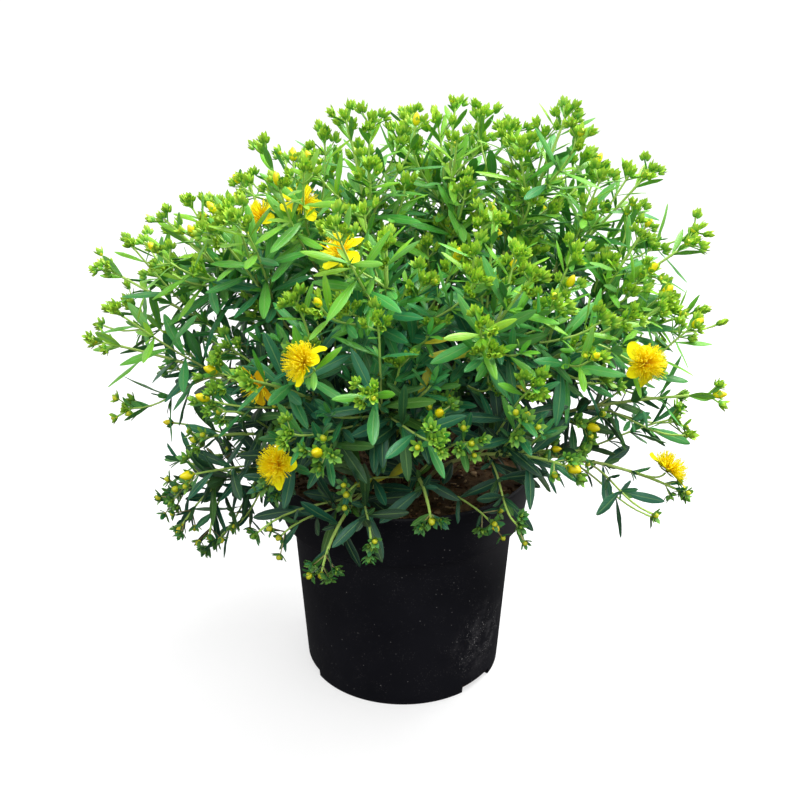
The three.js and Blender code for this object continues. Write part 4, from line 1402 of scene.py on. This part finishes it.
def petal_finish():
    finish = Finish("petal", roughness=0.65, specular_ior_level=0.15)
    along, across, _ = finish.mark("blade")
    _, tint, wilt = finish.mark("tone")
    streak_place = finish.plus(finish.times(across, 5.0), finish.times(finish.noise(90.0), 0.9))
    streaks = finish.span(finish.math("PINGPONG", streak_place, 0.5), 0.0, 0.5)
    yellow = finish.mix(tint, (0.94, 0.91, 0.003), (0.96, 0.95, 0.008))
    lined = finish.mix(finish.times(streaks, 0.22), yellow, (0.93, 0.76, 0.001))
    deep = finish.mix(finish.span(along, 0.2, 0.0), lined, (0.93, 0.70, 0.001))
    return finish.done(finish.mix(wilt, deep, (0.72, 0.26, 0.006)), streaks, 0.35, 0.0004)


def stamen_finish():
    finish = Finish("stamen", roughness=0.6, specular_ior_level=0.15)
    golden = finish.mix(finish.mark("blade")[0], (0.95, 0.48, 0.001), (0.97, 0.88, 0.003))
    return finish.done(finish.mix(finish.times(finish.mark("tone")[1], 0.4), golden, (0.97, 0.93, 0.012)))


def anther_finish():
    finish = Finish("anther", roughness=0.7)
    golden = finish.mix(finish.mark("tone")[1], (0.97, 0.78, 0.004), (0.98, 0.90, 0.012))
    return finish.done(finish.spotted(golden, (0.9, 0.6, 0.004), finish.noise(1500.0), 0.3, 0.7, 0.3))


def heart_finish():
    finish = Finish("heart", roughness=0.45)
    brown = finish.mix(finish.mark("blade")[0], (0.42, 0.20, 0.01), (0.66, 0.40, 0.02))
    return finish.done(finish.spotted(brown, (0.40, 0.34, 0.02), finish.noise(600.0), 0.35, 0.7, 0.4))


# Black plastic, with specks of dust and a smear of dust low on the right, and a painted sheen on the collar:
# a lighter film where light would be reflected.
def plastic_finish():
    finish = Finish("black_plastic", specular_ior_level=0.2)
    cloud = finish.noise(14.0, 5.0, 0.6)
    dusty = finish.near(DUST_PATCH)
    fine = finish.times(finish.dots(700.0, 0.34), finish.span(finish.noise(60.0), 0.42, 0.62))
    coarse = finish.dots(210.0, 0.12)
    specks = finish.plus(finish.times(fine, finish.plus(dusty, 0.1)),
                         finish.times(coarse, finish.plus(dusty, 0.45)))
    smear = finish.times(dusty, finish.span(finish.noise(70.0, 6.0, 0.7), 0.48, 0.72))
    # The collar's painted sheen: a lighter patch that stands in for reflected light.
    painted_sheen = finish.times(finish.near(PAINTED_COLLAR_SHEEN), finish.span(cloud, 0.3, 0.7, 0.5, 1.0))
    black = finish.mix(cloud, (0.003, 0.003, 0.0048), (0.0075, 0.0075, 0.0115))
    sheened = finish.mix(finish.times(painted_sheen, 0.4), black, (0.20, 0.19, 0.20))
    smeared = finish.mix(finish.times(smear, 0.25), sheened, (0.26, 0.25, 0.26))
    finish.set("Roughness", finish.span(finish.plus(cloud, specks), 0.3, 0.8, 0.38, 0.58))
    return finish.done(finish.mix(specks, smeared, (0.5, 0.49, 0.48)), finish.noise(900.0), 0.12, 0.0003)


def soil_finish():
    finish = Finish("potting_soil", roughness=0.95, specular_ior_level=0.25)
    grain = finish.noise(420.0, 6.0, 0.7)
    dark = finish.mix(grain, (0.015, 0.009, 0.005), (0.11, 0.062, 0.026))
    light = finish.mix(grain, (0.06, 0.035, 0.016), (0.36, 0.22, 0.10))
    brown = finish.mix(finish.span(finish.noise(45.0), 0.4, 0.65), dark, light)
    varied = finish.mix(finish.times(finish.mark("tone")[1], 0.5), brown, (0.24, 0.135, 0.055))
    return finish.done(varied, grain, 0.8, 0.0015)


def chip_finish():
    finish = Finish("bark_chips", roughness=0.9, specular_ior_level=0.25)
    grain = finish.noise(500.0, 5.0, 0.65, 0.6)
    brown = finish.ramp(finish.mark("tone")[1], [
        (0.0, (0.028, 0.015, 0.008)),
        (0.45, (0.13, 0.066, 0.027)),
        (0.8, (0.34, 0.19, 0.08)),
        (1.0, (0.66, 0.48, 0.26)),
    ])
    return finish.done(
        finish.spotted(brown, (0.05, 0.022, 0.011), grain, 0.35, 0.65, 0.5), grain, 0.7, 0.0012)


# A round outline of radii and heights in millimetres, turned about the upright axis, as one mesh.
def lathe_mesh(name, outline, sides):
    angles = round_angles(sides)
    radii, heights = np.array(outline[1:-1]).T
    rings = np.stack([np.outer(radii, np.cos(angles)), np.outer(radii, np.sin(angles)),
                      np.repeat(heights[:, None], sides, 1)], 2).reshape(-1, 3)
    points = np.concatenate([[[0, 0, outline[0][1]]], rings, [[0, 0, outline[-1][1]]]])
    faces = spindle_faces(len(radii), sides)
    mesh = bpy.data.meshes.new(name)
    mesh.from_pydata((points * MM).tolist(), [], [[i for i in face if i >= 0] for face in faces.tolist()])
    mesh.update()
    return mesh


# A quarter turn round an outline's corner, from one bearing to another, in degrees.
def rounded(centre, radius, start, stop, steps=4):
    angles = np.radians(np.linspace(start, stop, steps + 1))
    return [(centre[0] + radius * math.cos(angle), centre[1] + radius * math.sin(angle)) for angle in angles]


def pot_outline():
    lip = WALL / 2
    top = POT_HEIGHT - COLLAR_ROWS["below_rim"]
    body = np.linspace(BODY_ROWS["from"], COLLAR_FOOT - BODY_ROWS["below_collar"], BODY_ROWS["count"])
    collar = np.linspace(COLLAR_FOOT + COLLAR_ROWS["above_foot"], top, COLLAR_ROWS["count"])
    corner = (COLLAR_FOOT_RADIUS - COLLAR_ROUNDING, COLLAR_FOOT + COLLAR_ROUNDING)
    return [
        (0, 0), (BASE_RADIUS * 0.5, 0),
        *rounded((BASE_RADIUS - EDGE, EDGE), EDGE, -90, 0),
        *((pot_radius_at(height), height) for height in body),
        (SHOULDER_RADIUS, COLLAR_FOOT - SHOULDER_STEP), (SHOULDER_RADIUS + SHOULDER_STEP, COLLAR_FOOT),
        *rounded(corner, COLLAR_ROUNDING, -90, -10),
        *((pot_radius_at(height), height) for height in collar),
        (RIM_RADIUS, POT_HEIGHT - LIP_DEPTH),
        *rounded((RIM_RADIUS - lip, POT_HEIGHT - lip), lip, 0, 180, 6),
        *((pot_radius_at(POT_HEIGHT - depth) - WALL, POT_HEIGHT - depth) for depth in INNER_DEPTHS),
        (COLLAR_FOOT_RADIUS - WALL, COLLAR_FOOT + 2 * EDGE + WALL),
        (SHOULDER_RADIUS - WALL, COLLAR_FOOT + WALL),
        (BASE_RADIUS - WALL, FLOOR), (BASE_RADIUS * 0.5, FLOOR), (0, FLOOR),
    ]


def cut_notches(pot):
    for bearing in NOTCH["bearings"]:
        angle = math.radians(bearing)
        bpy.ops.mesh.primitive_cube_add(
            size=1, location=(BASE_RADIUS * MM * math.cos(angle), BASE_RADIUS * MM * math.sin(angle), 0),
            rotation=(0, 0, angle))
        box = bpy.context.object
        box.scale = (2 * NOTCH["depth"] * MM, NOTCH["width"] * MM, 2 * NOTCH["height"] * MM)
        cut = pot.modifiers.new("notch", "BOOLEAN")
        cut.operation = "DIFFERENCE"
        cut.object = box
        bpy.context.view_layer.objects.active = pot
        bpy.ops.object.modifier_apply(modifier=cut.name)
        bpy.data.objects.remove(box)


def make_pot(finishes):
    mesh = lathe_mesh("nursery_pot", pot_outline(), POT_SIDES)
    mesh.materials.append(finishes["black_plastic"])
    pot = add_piece("nursery_pot", mesh, "pot")
    cut_notches(pot)
    mesh.shade_smooth()
    mesh.set_sharp_from_angle(angle=math.radians(SHARP["pot"]))


# How high the soil stands at a place: low waves with lumps on them.
def soil_height(x, y):
    waves = math.sin(x * 0.11 + 1.3) * math.cos(y * 0.13 + 0.4) + 0.6 * math.sin(x * 0.31 + y * 0.27)
    lumps = 0.5 * math.sin(x * 0.9 + 2) * math.sin(y * 0.83 + 1)
    return SOIL_TOP + SOIL_RELIEF * 0.5 * (0.6 * waves + lumps)


def make_soil(finishes):
    skin = Skin()
    inner = WALL + SOIL_GAP
    edge = pot_radius_at(SOIL_TOP) - inner - EDGE
    walls = [
        (BASE_RADIUS - inner, FLOOR + FIT_GAP),
        (SHOULDER_RADIUS - inner, COLLAR_FOOT + WALL + FIT_GAP),
        (COLLAR_FOOT_RADIUS - inner - EDGE, COLLAR_FOOT + 2 * EDGE + WALL + FIT_GAP),
    ]
    angles = round_angles(SOIL_SIDES)
    points = [(0, 0, FLOOR + FIT_GAP)]
    for radius, height in walls:
        points += [(radius * math.cos(angle), radius * math.sin(angle), height) for angle in angles]
    for share in SOIL_RINGS:
        sunk = SOIL_RELIEF if share == 1 else 0
        for angle in angles:
            x, y = edge * share * math.cos(angle), edge * share * math.sin(angle)
            points.append((x, y, soil_height(x, y) - sunk))
    points.append((0, 0, soil_height(0, 0)))
    blank = np.zeros((len(points), 3))
    faces = spindle_faces(len(walls) + len(SOIL_RINGS), SOIL_SIDES)
    skin.add(np.array(points), faces, "potting_soil", blank, blank)
    for k in range(CHIPS["count"]):
        chip(skin, k, edge)
    add_piece("soil_bed", skin.mesh("soil_bed", finishes), "soil")


# A bit of bark that lies on the soil.
def chip(skin, k, edge):
    bearing = math.tau * draw(k, 201)
    radius = (edge - CHIPS["margin"]) * math.sqrt(draw(k, 202))
    x, y = radius * math.cos(bearing), radius * math.sin(bearing)
    size = CHIPS["size"] + CHIPS["more"] * draw(k, 203) ** 3
    way = math.tau * draw(k, 204)
    ahead = unit(vector((math.cos(way), math.sin(way), swing(CHIPS["slope"], k, 205))))
    face = squared(vector((swing(CHIPS["tilt"], k, 206), swing(CHIPS["tilt"], k, 207), 1)), ahead)
    root = vector((x, y, soil_height(x, y) + CHIPS["above"])) - ahead * size / 2
    width = size * (CHIPS["width"] + CHIPS["wider"] * draw(k, 208))
    skin.grow("bark_chips", CHIP_FORM, root, ahead, face, size, width, swing(CHIPS["arch"], k, 209),
              tint=draw(k, 210))


# The floor shows white and takes the shadow, and leaves the plant's underside dark.
def make_stage():
    bpy.ops.mesh.primitive_plane_add(size=FLOOR_SIZE)
    floor = bpy.context.object
    floor.name = "floor"
    finish = Finish("pale_floor", roughness=0.9, specular_ior_level=0.1, emission_strength=FLOOR_GLOW)
    finish.set("Base Color", (FLOOR_WHITE, FLOOR_WHITE, FLOOR_WHITE, 1))
    finish.set("Emission Color", (1, 1, 1, 1))
    floor.data.materials.append(finish.material)
    floor.visible_diffuse = False
    floor.visible_glossy = False


def add_light(name, place, size, power):
    light = bpy.data.lights.new(name, "AREA")
    light.size = size
    light.energy = power
    lamp = bpy.data.objects.new(name, light)
    bpy.context.scene.collection.objects.link(lamp)
    lamp.location = place
    lamp.rotation_euler = (Vector(LIGHT_TARGET) - Vector(place)).to_track_quat("-Z", "Y").to_euler()


# A white sky over a dark ground, a broad key light from the upper right, and a soft front light.
def light_scene():
    world = bpy.data.worlds.new("studio")
    world.use_nodes = True
    tree = world.node_tree
    place = tree.nodes.new("ShaderNodeTexCoord")
    split = tree.nodes.new("ShaderNodeSeparateXYZ")
    height = tree.nodes.new("ShaderNodeMapRange")
    limits = {"From Min": HORIZON[0], "From Max": HORIZON[1], "To Min": GROUND_LIGHT, "To Max": SKY_LIGHT}
    for label, value in limits.items():
        height.inputs[label].default_value = value
    tree.links.new(place.outputs["Generated"], split.inputs[0])
    tree.links.new(split.outputs["Z"], height.inputs["Value"])
    background = tree.nodes["Background"]
    background.inputs["Color"].default_value = (1, 1, 1, 1)
    tree.links.new(height.outputs[0], background.inputs["Strength"])
    bpy.context.scene.world = world
    for name, lamp in LAMPS.items():
        add_light(name, lamp["at"], lamp["size"], lamp["power"])
    bpy.context.scene.view_settings.view_transform = "Standard"


def place_camera():
    camera = bpy.data.cameras.new("camera")
    camera.lens = CAMERA["lens"]
    camera.sensor_width = CAMERA["sensor"]
    seen = bpy.data.objects.new("camera", camera)
    seen.location = CAMERA["at"]
    seen.rotation_euler = (math.radians(90 - CAMERA["down"]), 0, 0)
    bpy.context.scene.collection.objects.link(seen)
    bpy.context.scene.camera = seen


place_camera()
light_scene()
make_stage()
makers = [
    leaf_finish, sepal_finish, bark_finish, bud_finish, ripe_bud_finish, petal_finish, stamen_finish,
    anther_finish, heart_finish, plastic_finish, soil_finish, chip_finish,
]
finishes = {finish.name: finish.material for finish in [maker() for maker in makers]}
make_pot(finishes)
make_soil(finishes)
grow_plant(finishes)
for number, (name, bloom) in enumerate(BLOOMS.items()):
    open_bloom(name, bloom, number, finishes)
